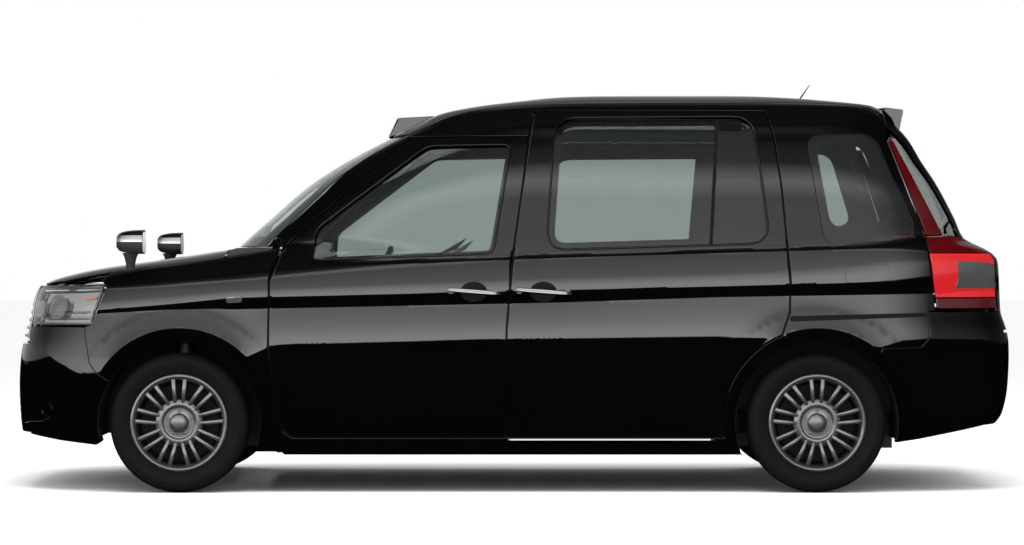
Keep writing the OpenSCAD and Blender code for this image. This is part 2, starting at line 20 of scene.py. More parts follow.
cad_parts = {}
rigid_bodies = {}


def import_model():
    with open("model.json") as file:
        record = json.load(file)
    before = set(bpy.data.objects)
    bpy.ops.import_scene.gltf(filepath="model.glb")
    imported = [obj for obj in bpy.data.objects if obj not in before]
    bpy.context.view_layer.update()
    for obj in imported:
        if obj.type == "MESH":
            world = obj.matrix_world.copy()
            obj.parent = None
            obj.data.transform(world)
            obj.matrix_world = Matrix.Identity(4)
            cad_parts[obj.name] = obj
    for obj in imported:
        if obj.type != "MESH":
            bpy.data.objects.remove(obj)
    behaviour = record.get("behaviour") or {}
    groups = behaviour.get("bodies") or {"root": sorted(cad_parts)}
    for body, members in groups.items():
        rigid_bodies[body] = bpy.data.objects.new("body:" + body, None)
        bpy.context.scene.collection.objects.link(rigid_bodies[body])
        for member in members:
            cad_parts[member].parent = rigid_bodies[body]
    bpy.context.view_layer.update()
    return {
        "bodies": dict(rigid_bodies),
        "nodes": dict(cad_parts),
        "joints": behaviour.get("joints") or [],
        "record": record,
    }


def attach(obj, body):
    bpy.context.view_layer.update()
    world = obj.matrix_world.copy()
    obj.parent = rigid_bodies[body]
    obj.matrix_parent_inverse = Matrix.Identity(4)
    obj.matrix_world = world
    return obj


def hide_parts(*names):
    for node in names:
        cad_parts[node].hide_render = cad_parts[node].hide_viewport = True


LOG = logging.getLogger("taxi")
MM = 0.001
Loop = list[tuple[float, float]]


class Side(Enum):
    """Which side of the vehicle a piece is on; the value is the sign of its Y."""

    LEFT = -1
    RIGHT = 1


# --------------------------------------------------------------------------- curves and outlines
def smooth_lookup(x: np.ndarray, knots: Sequence[tuple[float, float]]) -> np.ndarray:
    """Monotone cubic curve through knots.

    Args:
        x: places to evaluate.
        knots: (place, value) pairs in rising order of place.
    Returns:
        The curve's value at each place, held flat beyond its ends.
    """
    kx = np.array([k[0] for k in knots], float)
    ky = np.array([k[1] for k in knots], float)
    h = np.diff(kx)
    d = np.diff(ky) / h
    m = np.zeros_like(kx)
    same = d[:-1] * d[1:] > 0
    w1, w2 = 2 * h[1:] + h[:-1], h[1:] + 2 * h[:-1]
    with np.errstate(divide="ignore", invalid="ignore"):
        inner = (w1 + w2) / (w1 / d[:-1] + w2 / d[1:])
    m[1:-1] = np.where(same, inner, 0.0)
    m[0], m[-1] = d[0], d[-1]
    x = np.clip(np.asarray(x, float), kx[0], kx[-1])
    i = np.clip(np.searchsorted(kx, x, side="right") - 1, 0, len(h) - 1)
    t = (x - kx[i]) / h[i]
    return (ky[i] * (1 + 2 * t) * (1 - t) ** 2 + m[i] * h[i] * t * (1 - t) ** 2
            + ky[i + 1] * t * t * (3 - 2 * t) + m[i + 1] * h[i] * t * t * (t - 1))


def line_lookup(x: np.ndarray, knots: Sequence[tuple[float, float]]) -> np.ndarray:
    """Straight-line interpolation through (place, value) knots."""
    return np.interp(x, [k[0] for k in knots], [k[1] for k in knots])


def arc(cx: float, cy: float, radius: float, start: float, end: float, count: int) -> Loop:
    """Points along a circular arc, angles in degrees.

    Args:
        cx, cy: centre.
        radius: radius of the arc.
        start, end: first and last angle.
        count: how many points.
    Returns:
        The points, both ends included.
    """
    angles = np.radians(np.linspace(start, end, count))
    return [(cx + radius * math.cos(a), cy + radius * math.sin(a)) for a in angles]


def rounded(points: Loop, radius: float, steps: int = 6) -> Loop:
    """A closed outline whose corners are rounded.

    Args:
        points: corners in order.
        radius: how far each rounding reaches along its edges.
        steps: points per corner.
    Returns:
        The rounded outline.
    """
    out: Loop = []
    pts = [np.array(p, float) for p in points]
    for i, p in enumerate(pts):
        before, after = pts[i - 1] - p, pts[(i + 1) % len(pts)] - p
        lb, la = np.linalg.norm(before), np.linalg.norm(after)
        reach = min(radius, 0.45 * lb, 0.45 * la)
        a, b = p + before / lb * reach, p + after / la * reach
        for t in np.linspace(0, 1, steps):
            q = a * (1 - t) ** 2 + 2 * p * t * (1 - t) + b * t * t
            out.append((float(q[0]), float(q[1])))
    return out


def signed_area(loop: Loop) -> float:
    """Area of a closed outline, positive when it runs anticlockwise."""
    a = np.array(loop)
    b = np.roll(a, -1, axis=0)
    return float(np.sum(a[:, 0] * b[:, 1] - b[:, 0] * a[:, 1]) / 2)


def resampled(loop: Loop, step: float) -> Loop:
    """The same closed outline with points no further apart than step, corners kept."""
    out: Loop = []
    for i, p in enumerate(loop):
        q = loop[(i + 1) % len(loop)]
        length = math.dist(p, q)
        if length < 1e-6:
            continue
        count = max(1, math.ceil(length / step))
        out += [(p[0] + (q[0] - p[0]) * k / count, p[1] + (q[1] - p[1]) * k / count) for k in range(count)]
    return out


def outward(loop: np.ndarray) -> np.ndarray:
    """Unit directions that point out of an anticlockwise outline at each of its points."""
    ahead, behind = np.roll(loop, -1, axis=0) - loop, loop - np.roll(loop, 1, axis=0)
    ahead /= np.linalg.norm(ahead, axis=1, keepdims=True) + 1e-9
    behind /= np.linalg.norm(behind, axis=1, keepdims=True) + 1e-9
    tangent = ahead + behind
    length = np.linalg.norm(tangent, axis=1, keepdims=True)
    tangent /= np.maximum(length, 0.3)
    stretch = 1 / np.clip(length / 2, 0.5, 1)
    return np.stack([tangent[:, 1], -tangent[:, 0]], axis=1) * stretch


def grown(loop: Loop, distance: float) -> Loop:
    """A closed outline moved outwards by distance, or inwards where it is negative."""
    a = np.array(loop if signed_area(loop) > 0 else loop[::-1], float)
    moved = a + outward(a) * distance
    return [(float(p[0]), float(p[1])) for p in moved]


def inside(points: np.ndarray, loop: Loop) -> np.ndarray:
    """Which points lie inside a closed outline, by the even and odd rule."""
    a = np.array(loop)
    b = np.roll(a, -1, axis=0)
    px, py = points[:, :1], points[:, 1:2]
    crosses = (a[:, 1] > py) != (b[:, 1] > py)
    slope = (b[:, 0] - a[:, 0]) / np.where(np.abs(b[:, 1] - a[:, 1]) < 1e-9, 1e-9, b[:, 1] - a[:, 1])
    hits = crosses & (px < a[:, 0] + (py - a[:, 1]) * slope)
    return hits.sum(axis=1) % 2 == 1


def gap_to(points: np.ndarray, loop: Loop) -> np.ndarray:
    """Distance from each point to the nearest edge of a closed outline."""
    a = np.array(loop)
    b = np.roll(a, -1, axis=0)
    ab = b - a
    best = np.full(len(points), 1e9)
    for start in range(0, len(points), 800):
        p = points[start:start + 800, None, :]
        t = np.clip(((p - a) * ab).sum(-1) / np.maximum((ab * ab).sum(-1), 1e-9), 0, 1)
        best[start:start + 800] = np.linalg.norm(p - (a + ab * t[..., None]), axis=-1).min(axis=1)
    return best


# --------------------------------------------------------------------------- body form
@dataclass
class BodyForm:
    """The smooth outer surface of the body.

    At each height the plan outline is a rounded box between a front and a rear station. Its half width
    follows a section whose creases rise and fall along the body.
    """

    half_length: float = 2200.0
    axles: tuple[float, float] = (-1435.0, 1315.0)
    hub_height: float = 301.0
    flare_radius: float = 409.0
    nose_power: float = 5.0
    tail_power: float = 7.0
    # (height, front station) and (height, rear station)
    front: tuple = ((162, -2060), (200, -2150), (246, -2188), (330, -2196), (450, -2200), (560, -2194),
                    (620, -2185), (700, -2167), (787, -2143), (829, -2134), (880, -2110), (908, -2065),
                    (940, -1960), (966, -1836), (1000, -1600), (1034, -1370), (1058, -1234), (1098, -1188),
                    (1183, -1090), (1341, -907), (1441, -752), (1534, -579), (1600, -440), (1656, -329),
                    (1686, -195), (1715, 20), (1736, 218), (1745, 560), (1748, 744))
    rear: tuple = ((162, 2040), (200, 2090), (246, 2112), (330, 2172), (450, 2195), (573, 2200),
                   (640, 2198), (700, 2188), (787, 2162), (880, 2158), (966, 2154), (1000, 2150),
                   (1034, 2125), (1058, 2083), (1098, 2003), (1183, 1965), (1341, 1885), (1441, 1822),
                   (1534, 1770), (1600, 1711), (1656, 1660), (1686, 1626), (1715, 1407), (1736, 1150),
                   (1745, 950), (1748, 746))
    # creases along the body: (station, height)
    sill_line: tuple = ((-2200, 622), (-2048, 612), (-1985, 567), (-1893, 519), (-1830, 500), (-1134, 590),
                        (-1039, 633), (-139, 656), (962, 670), (1100, 668), (1592, 630), (1684, 657),
                        (1797, 665), (2200, 655))
    band_low: tuple = ((-2200, 755), (-1800, 770), (-1497, 788), (-1285, 793), (-1215, 790), (205, 820),
                       (893, 843), (1776, 857), (2200, 868))
    band_top: tuple = ((-2200, 770), (-1800, 786), (-1497, 811), (-1285, 832), (-1215, 840), (205, 874),
                       (893, 890), (1776, 914), (2200, 926))
    belt: tuple = ((-2200, 890), (-1620, 936), (-1215, 958), (205, 1012), (1776, 1059), (2200, 1075))
    # half width above the belt: (share of the height from the belt to the crown, half width)
    cabin: tuple = ((0, 816), (0.02, 808), (0.065, 801), (0.12, 791), (0.39, 740), (0.663, 672), (0.717, 655),
                    (0.8, 630), (0.88, 572), (0.935, 482), (0.969, 380), (0.989, 250), (1, 1))
    foot: float = 162.0
    crown: float = 1748.0

    def __post_init__(self) -> None:
        """Tabulate how far round the outline each angle is."""
        half, wide = 2190.0, 840.0
        share = np.linspace(0, 1, 220)
        nose = np.arccos(share[::-1] ** (self.nose_power / 2))
        nose = np.concatenate([nose, np.arcsin(share ** (self.nose_power / 2))])
        tail = np.arccos(-share ** (self.tail_power / 2))
        tail = np.concatenate([tail, math.pi - np.arcsin(share ** (self.tail_power / 2))])
        self.angles = np.unique(np.concatenate([nose, tail]))
        c, s = np.cos(self.angles), np.abs(np.sin(self.angles))
        power = 2 / np.where(c > 0, self.nose_power, self.tail_power)
        x = -half * np.sign(c) * np.abs(c) ** power
        y = wide * s ** power
        steps = np.hypot(np.diff(x), np.diff(y))
        self.runs = np.concatenate([[0], np.cumsum(steps)])

    def half_width(self, x: np.ndarray, z: np.ndarray) -> np.ndarray:
        """Half width of the section at stations x and heights z."""
        sill, low = line_lookup(x, self.sill_line), line_lookup(x, self.band_low)
        top, belt = line_lookup(x, self.band_top), line_lookup(x, self.belt)
        q = np.clip((z - self.foot) / (sill - self.foot), 0, 1)
        under = 792 + 55 * (1.35 * q - 0.35 * q * q)
        q = np.clip((z - sill) / (low - sill), 0, 1)
        lower = 847 - 14 * (q - 0.3 * (1 - np.exp(-q / 0.3))) / 0.7107
        q = np.clip((z - low) / (top - low), 0, 1)
        band = 833 + 5 * q
        q = np.clip((z - top) / (belt - top), 0, 1)
        upper = 838 - 22 * (0.12 * q + 0.88 * q * q)
        q = np.clip((z - belt) / (self.crown - belt), 0, 1)
        cabin = smooth_lookup(q, self.cabin)
        return np.where(z < sill, under, np.where(z < low, lower, np.where(z < top, band,
                        np.where(z < belt, upper, cabin))))

    def ends(self, z: np.ndarray) -> tuple[np.ndarray, np.ndarray]:
        """Middle station and half length of the outline at heights z."""
        xf, xr = smooth_lookup(z, self.front), smooth_lookup(z, self.rear)
        return (xf + xr) / 2, (xr - xf) / 2

    def flare(self, x: np.ndarray, z: np.ndarray) -> np.ndarray:
        """How far the wheel arch flares push the side out at stations x and heights z."""
        out = np.zeros_like(x)
        for axle in self.axles:
            r = np.hypot(x - axle, z - self.hub_height)
            swell = 7 * np.exp(-np.maximum(r - self.flare_radius, 0) / 60)
            drop = 0.2 * np.maximum(self.flare_radius - r, 0)
            fade = np.clip((z - 420) / 160, 0, 1) * np.exp(-np.maximum(r - 480, 0) / 40)
            out += np.where(r < 700, swell * fade - drop * np.clip((z - 250) / 120, 0, 1) * (r < self.flare_radius), 0)
        return out

    def wrap(self, st: np.ndarray) -> np.ndarray:
        """Points of the surface from wrap coordinates.

        Args:
            st: rows of (run round the left side from the nose, height); a negative run is on the right.
        Returns:
            Rows of (x, y, z).
        """
        run, z = np.abs(st[:, 0]), st[:, 1]
        angle = np.interp(run, self.runs, self.angles)
        c, s = np.cos(angle), np.abs(np.sin(angle))
        power = 2 / np.where(c > 0, self.nose_power, self.tail_power)
        middle, half = self.ends(z)
        x = middle - half * np.sign(c) * np.abs(c) ** power
        y = (self.half_width(x, z) + self.flare(x, z)) * s ** power
        return np.stack([x, -np.sign(st[:, 0]) * y, z], axis=1)

    def run_at(self, x: np.ndarray, z: np.ndarray) -> np.ndarray:
        """Run round the outline of the side point at station x and height z."""
        middle, half = self.ends(z)
        u = np.clip((x - middle) / half, -1, 1)
        power = np.where(u < 0, self.nose_power, self.tail_power)
        angle = np.arccos(np.clip(-np.sign(u) * np.abs(u) ** (power / 2), -1, 1))
        return np.interp(angle, self.angles, self.runs)

    def side_loop(self, loop: Loop, side: Side) -> Loop:
        """A side view outline of (x, z) points in wrap coordinates."""
        a = np.array(loop, float)
        runs = self.run_at(a[:, 0], a[:, 1]) * -side.value
        return [(float(r), float(z)) for r, z in zip(runs, a[:, 1])]

    def unplace(self, points: np.ndarray, tail: bool = False) -> Loop:
        """Wrap coordinates of points on the surface.

        Args:
            points: rows of (x, y, z).
            tail: whether runs go on past the middle of the tail instead of turning negative.
        Returns:
            (run, height) pairs.
        """
        x, y, z = points[:, 0], points[:, 1], points[:, 2]
        middle, half = self.ends(z)
        u = np.clip((x - middle) / half, -1, 1)
        v = np.clip(np.abs(y) / self.half_width(x, z), 0, 1)
        power = np.where(u < 0, self.nose_power, self.tail_power) / 2
        runs = np.interp(np.arctan2(v ** power, -np.sign(u) * np.abs(u) ** power), self.angles, self.runs)
        runs = np.where(y > 0, 2 * self.runs[-1] - runs if tail else -runs, runs)
        return [(float(r), float(h)) for r, h in zip(runs, z)]

    def end_points(self, loop: Loop, rear: bool) -> np.ndarray:
        """Points on the nose or the tail from an end view outline of (y, z) points."""
        a = np.array(loop, float)
        y, z = a[:, 0], a[:, 1]
        middle, half = self.ends(z)
        power = self.tail_power if rear else self.nose_power
        x = middle + half * (1 if rear else -1)
        for _ in range(4):
            share = np.clip(np.abs(y) / self.half_width(x, z), 0, 0.9999)
            x = middle + half * (1 if rear else -1) * (1 - share ** power) ** (1 / power)
        return np.stack([x, y, z], axis=1)

    def end_loop(self, loop: Loop, rear: bool) -> Loop:
        """An end view outline of (y, z) points in wrap coordinates; a tail loop's runs are unrolled."""
        return self.unplace(self.end_points(loop, rear), tail=rear)

    def wrap_tail(self, st: np.ndarray) -> np.ndarray:
        """Like wrap, for runs that go on past the middle of the tail to the right side."""
        total = 2 * self.runs[-1]
        folded = st.copy()
        folded[:, 0] = np.where(st[:, 0] > self.runs[-1], st[:, 0] - total, st[:, 0])
        return self.wrap(folded)

    def plan(self, xy: np.ndarray) -> np.ndarray:
        """Points of the top surface over plan coordinates (x, y)."""
        x, y = xy[:, 0], xy[:, 1]
        low, high = np.full(len(x), 700.0), np.full(len(x), self.crown)
        for _ in range(34):
            z = (low + high) / 2
            middle, half = self.ends(z)
            u = (x - middle) / half
            power = np.where(u < 0, self.nose_power, self.tail_power)
            full = np.abs(u) ** power + np.abs(y / self.half_width(x, z)) ** power
            low = np.where(full < 1, z, low)
            high = np.where(full < 1, high, z)
        return np.stack([x, y, (low + high) / 2], axis=1)


@dataclass(frozen=True)
class Chart:
    """A way to lay flat outlines on the body form."""

    place: Callable[[np.ndarray], np.ndarray]

    def normal(self, pq: np.ndarray, reach: float = 1.5) -> np.ndarray:
        """Unit normals that point out of the body."""
        dp, dq = np.array([reach, 0.0]), np.array([0.0, reach])
        n = np.cross(self.place(pq + dp) - self.place(pq - dp), self.place(pq + dq) - self.place(pq - dq))
        n /= np.linalg.norm(n, axis=1, keepdims=True) + 1e-12
        return n


FORM = BodyForm()
WRAP = Chart(FORM.wrap)
TAIL = Chart(FORM.wrap_tail)
PLAN = Chart(FORM.plan)


# --------------------------------------------------------------------------- meshes
@dataclass
class Shape:
    """A mesh in the making, in millimetres. Corner normals that stay zero are left to the mesh."""

    points: list[np.ndarray] = field(default_factory=list)
    faces: list[tuple[int, ...]] = field(default_factory=list)
    normals: list[tuple[float, float, float]] = field(default_factory=list)
    finishes: list[int] = field(default_factory=list)
    count: int = 0

    def add(self, points: np.ndarray, faces: Sequence[Sequence[int]], normals: np.ndarray | None = None,
            finish: int = 0) -> "Shape":
        """Append points and faces.

        Args:
            points: rows of (x, y, z).
            faces: indices into points.
            normals: one row per face corner, or None.
            finish: which of the piece's materials the faces take.
        Returns:
            This shape.
        """
        total = 0
        for face in faces:
            self.faces.append(tuple(int(i) + self.count for i in face))
            self.finishes.append(finish)
            total += len(face)
        self.normals += [(0.0, 0.0, 0.0)] * total if normals is None else [tuple(n) for n in normals.tolist()]
        self.points.append(np.asarray(points, float))
        self.count += len(points)
        return self

    def loft(self, sections: Sequence[np.ndarray], caps: bool = True, closed: bool = False,
             finish: int = 0) -> "Shape":
        """Skin a row of closed sections that have the same number of points.

        Args:
            sections: arrays of (x, y, z) rows.
            caps: whether the first and last sections are filled.
            closed: whether the last section joins the first.
            finish: material index.
        Returns:
            This shape.
        """
        rows, n = len(sections), len(sections[0])
        faces: list[tuple[int, ...]] = []
        for i in range(rows if closed else rows - 1):
            a, b = i * n, (i + 1) % rows * n
            faces += [(a + j, a + (j + 1) % n, b + (j + 1) % n, b + j) for j in range(n)]
        if caps and not closed:
            faces += [tuple(range(n - 1, -1, -1)), tuple(range((rows - 1) * n, rows * n))]
        return self.add(np.concatenate(sections), faces, finish=finish)

    def lathe(self, centre: tuple[float, float, float], profile: Loop, count: int = 96, side: int = 1,
              finish: int = 0, closed: bool = False) -> "Shape":
        """Turn a profile about an axis along Y.

        Args:
            centre: a point on the axis.
            profile: (radius, distance outboard) pairs.
            count: steps round the axis.
            side: sign of the outboard direction along Y.
            finish: material index.
            closed: whether the profile's end joins its start.
        Returns:
            This shape.
        """
        c = np.array(centre)
        rings = []
        for a in np.linspace(0, 2 * math.pi, count, endpoint=False):
            rings.append(np.array([[r * math.cos(a), side * h, r * math.sin(a)] for r, h in profile]) + c)
        n = len(profile)
        faces = []
        for i in range(count):
            a, b = i * n, (i + 1) % count * n
            faces += [(a + j, a + (j + 1) % n, b + (j + 1) % n, b + j) for j in range(n if closed else n - 1)]
        return self.add(np.concatenate(rings), faces, finish=finish)

    def sweep(self, path: np.ndarray, profile: Loop, normals: np.ndarray, closed: bool = False,
              scale: Sequence[float] | None = None, finish: int = 0) -> "Shape":
        """Carry a profile along a path.

        Args:
            path: rows of (x, y, z).
            profile: closed (across, out) outline.
            normals: the out direction at each point of the path.
            closed: whether the path closes.
            scale: size of the profile at each point.
            finish: material index.
        Returns:
            This shape.
        """
        path = np.asarray(path, float)
        if closed:
            along = np.roll(path, -1, axis=0) - np.roll(path, 1, axis=0)
        else:
            along = np.gradient(path, axis=0)
        along /= np.linalg.norm(along, axis=1, keepdims=True) + 1e-9
        out = np.broadcast_to(np.asarray(normals, float), path.shape)
        out = out - (out * along).sum(1, keepdims=True) * along
        out = out / (np.linalg.norm(out, axis=1, keepdims=True) + 1e-9)
        across = np.cross(along, out)
        size = np.ones(len(path)) if scale is None else np.asarray(scale, float)
        sections = [p + s * np.array([a * u + o * v for u, v in profile])
                    for p, a, o, s in zip(path, across, out, size)]
        return self.loft(sections, caps=not closed, closed=closed, finish=finish)

    def moved(self, offset: Sequence[float]) -> "Shape":
        """Shift every point so far."""
        self.points = [p + np.array(offset) for p in self.points]
        return self

    def turned(self, pivot: Sequence[float], axis: Sequence[float], degrees: float) -> "Shape":
        """Turn every point so far about an axis through pivot."""
        a = np.array(axis, float) / np.linalg.norm(axis)
        c, s, p0 = math.cos(math.radians(degrees)), math.sin(math.radians(degrees)), np.array(pivot, float)
        self.points = [p0 + (q := p - p0) * c + np.cross(a, q) * s + np.outer(q @ a, a) * (1 - c)
                       for p in self.points]
        return self

    def build(self, name: str, finishes: Sequence[bpy.types.Material], sharp: float = 35.0,
              tidy: bool = True) -> bpy.types.Object:
        """Make the object.

        Args:
            name: name of the piece.
            finishes: its materials, in the order of the finish numbers.
            sharp: edges bent by more than this many degrees stay sharp.
            tidy: whether faces are turned to point outwards.
        Returns:
            The object, in the scene.
        """
        mesh = bpy.data.meshes.new(name)
        mesh.from_pydata((np.concatenate(self.points) * MM).tolist(), [], self.faces)
        mesh.polygons.foreach_set("material_index", self.finishes)
        mesh.polygons.foreach_set("use_smooth", [True] * len(self.faces))
        for material in finishes:
            mesh.materials.append(material)
        if tidy:
            soft = bmesh.new()
            soft.from_mesh(mesh)
            bmesh.ops.recalc_face_normals(soft, faces=soft.faces)
            soft.to_mesh(mesh)
            soft.free()
            mesh.set_sharp_from_angle(angle=math.radians(sharp))
        else:
            mesh.normals_split_custom_set(self.normals)
        obj = bpy.data.objects.new(name, mesh)
        bpy.context.scene.collection.objects.link(obj)
        return obj


def rounded_rectangle(width: float, height: float, radius: float, steps: int = 5) -> Loop:
    """A rounded rectangle about the origin."""
    w, h = width / 2, height / 2
    return rounded([(-w, -h), (w, -h), (w, h), (-w, h)], radius, steps)


def circle(radius: float, count: int = 12) -> Loop:
    """A closed ring of points about the origin."""
    return [(radius * math.cos(a), radius * math.sin(a))
            for a in np.linspace(0, 2 * math.pi, count, endpoint=False)]


@dataclass
class Sheet:
    """A panel cut to an outline on the body form, with rolled edges and turned-in rims."""

    outline: Loop
    chart: Chart = WRAP
    holes: list[Loop] = field(default_factory=list)
    creases: list[Loop] = field(default_factory=list)
    step: float = 24.0
    hem: float = 2.5
    rim: float = 14.0
    sink: float = 0.0
    inward: float = 0.0
    back: float = 0.0

    def position(self, pq: np.ndarray, depth: float | np.ndarray) -> np.ndarray:
        """Place chart points at a depth under the skin."""
        depth = np.asarray(depth, float) + self.sink
        points = self.chart.place(pq) - self.chart.normal(pq) * np.reshape(depth, (-1, 1))
        points[:, 1] -= np.sign(points[:, 1]) * self.inward
        return points

    def crease_runs(self, border: list[Loop]) -> list[np.ndarray]:
        """Crease points that lie well inside the panel, in connected runs."""
        runs = []
        for crease in self.creases:
            line = [crease[0]]
            for a, b in zip(crease, crease[1:]):
                n = max(1, math.ceil(math.dist(a, b) / self.step))
                line += [(a[0] + (b[0] - a[0]) * k / n, a[1] + (b[1] - a[1]) * k / n) for k in range(1, n + 1)]
            pts = np.array(line)
            keep = inside(pts, border[0]) & (gap_to(pts, border[0]) > 4)
            for hole in border[1:]:
                keep &= ~inside(pts, hole) & (gap_to(pts, hole) > 4)
            for piece in np.split(np.arange(len(pts)), np.where(np.diff(keep.astype(int)) != 0)[0] + 1):
                if keep[piece[0]] and len(piece) > 1:
                    runs.append(pts[piece])
        return runs

    def mesh(self, shape: Shape, finish: int = 0) -> Shape:
        """Add the panel to a shape.

        Args:
            shape: the shape to add to.
            finish: material index.
        Returns:
            The shape.
        """
        loops = [resampled(self.outline if signed_area(self.outline) > 0 else self.outline[::-1], 14)]
        loops += [resampled(h if signed_area(h) > 0 else h[::-1], 12) for h in self.holes]
        signs = [1] + [-1] * len(self.holes)
        outs = [outward(np.array(loop)) for loop in loops]
        inner = [np.array(loop) - s * o * self.hem for loop, s, o in zip(loops, signs, outs)]
        border = [[(float(p[0]), float(p[1])) for p in loop] for loop in inner]
        points = [loop for loop in inner]
        edges: list[tuple[int, int]] = []
        start = 0
        for loop in inner:
            edges += [(start + i, start + (i + 1) % len(loop)) for i in range(len(loop))]
            start += len(loop)
        runs = self.crease_runs(border)
        for run in runs:
            edges += [(start + i, start + i + 1) for i in range(len(run) - 1)]
            points.append(run)
            start += len(run)
        low, high = inner[0].min(axis=0), inner[0].max(axis=0)
        gp, gq = np.meshgrid(np.arange(low[0], high[0], self.step), np.arange(low[1], high[1], self.step * 0.85))
        gp[1::2] += self.step / 2
        grid = np.stack([gp.ravel(), gq.ravel()], axis=1)
        keep = inside(grid, border[0]) & (gap_to(grid, border[0]) > 0.55 * self.step)
        for hole in border[1:]:
            keep &= ~inside(grid, hole) & (gap_to(grid, hole) > 0.55 * self.step)
        for run in runs:
            closed = [tuple(p) for p in run] + [tuple(p) for p in run[::-1]]
            keep[keep] &= gap_to(grid[keep], closed) > 0.5 * self.step
        points.append(grid[keep])
        flat = np.concatenate(points)
        result = delaunay_2d_cdt([Vector(p) for p in flat.tolist()], edges, [], 0, 1e-4)
        flat = np.array([tuple(v) for v in result[0]])
        tris = np.array([f for f in result[2]])
        middle = flat[tris].mean(axis=1)
        keep = inside(middle, border[0])
        for hole in border[1:]:
            keep &= ~inside(middle, hole)
        tris = tris[keep]
        middle = middle[keep]
        corners = flat[tris] + 0.08 * (middle[:, None, :] - flat[tris])
        normals = self.chart.normal(corners.reshape(-1, 2), 0.6)
        shape.add(self.position(flat, 0.0), tris.tolist(), normals, finish)
        if self.back > 0:
            shape.add(self.position(flat, self.back), tris[:, ::-1].tolist(),
                      -normals.reshape(-1, 3, 3)[:, ::-1].reshape(-1, 3), finish)
        depth = self.back if self.back > 0 else self.rim
        turns = [(self.hem * (1 - math.sin(t)), self.hem * (1 - math.cos(t)), t)
                 for t in (0.0, math.pi / 4, math.pi / 2)] if self.hem > 0 else [(0, 0, 0)]
        turns.append((0.0 if self.back <= 0 else self.hem, depth, math.pi / 2))
        for loop, s, o in zip(loops, signs, outs):
            at = np.array(loop)
            n3 = self.chart.normal(at)
            o3 = self.chart.place(at + o * s) - self.chart.place(at)
            o3 /= np.linalg.norm(o3, axis=1, keepdims=True) + 1e-9
            rings = [self.position(at - s * o * inset, d) for inset, d, _ in turns]
            bends = [n3 * math.cos(t) + o3 * math.sin(t) for _, _, t in turns]
            n = len(at)
            faces, corner = [], []
            for k in range(len(rings) - 1):
                for i in range(n):
                    j = (i + 1) % n
                    quad = [(k, i), (k + 1, i), (k + 1, j), (k, j)]
                    if s < 0:
                        quad = quad[::-1]
                    faces.append([a * n + b for a, b in quad])
                    corner += [bends[a][b] for a, b in quad]
            shape.add(np.concatenate(rings), faces, np.array(corner), finish)
        return shape

    def build(self, name: str, finish: bpy.types.Material) -> bpy.types.Object:
        """Make the panel as an object of its own."""
        return self.mesh(Shape()).build(name, [finish], tidy=False)


# --------------------------------------------------------------------------- finishes
def place_node(tree: bpy.types.NodeTree, kind: str, inputs: dict | None = None, **settings: object) -> bpy.types.Node:
    """Add a node to a tree.

    Args:
        tree: the tree.
        kind: node type.
        inputs: values or output sockets for named or numbered inputs.
        settings: attributes of the node.
    Returns:
        The node.
    """
    made = tree.nodes.new(kind)
    for key, value in settings.items():
        setattr(made, key, value)
    for key, value in (inputs or {}).items():
        if isinstance(value, bpy.types.NodeSocket):
            tree.links.new(value, made.inputs[key])
        else:
            made.inputs[key].default_value = value
    return made


def new_group(name: str, inputs: dict[str, float | tuple], outputs: dict[str, str]) -> bpy.types.NodeTree:
    """Start a shader node group.

    Args:
        name: name of the group.
        inputs: input names and default values; a tuple is a colour.
        outputs: output names and socket types.
    Returns:
        The group's tree.
    """
    tree = bpy.data.node_groups.new(name, "ShaderNodeTree")
    for key, value in inputs.items():
        kind = "NodeSocketColor" if isinstance(value, tuple) else "NodeSocketFloat"
        tree.interface.new_socket(key, in_out="INPUT", socket_type=kind).default_value = value
    for key, kind in outputs.items():
        tree.interface.new_socket(key, in_out="OUTPUT", socket_type=kind)
    return tree


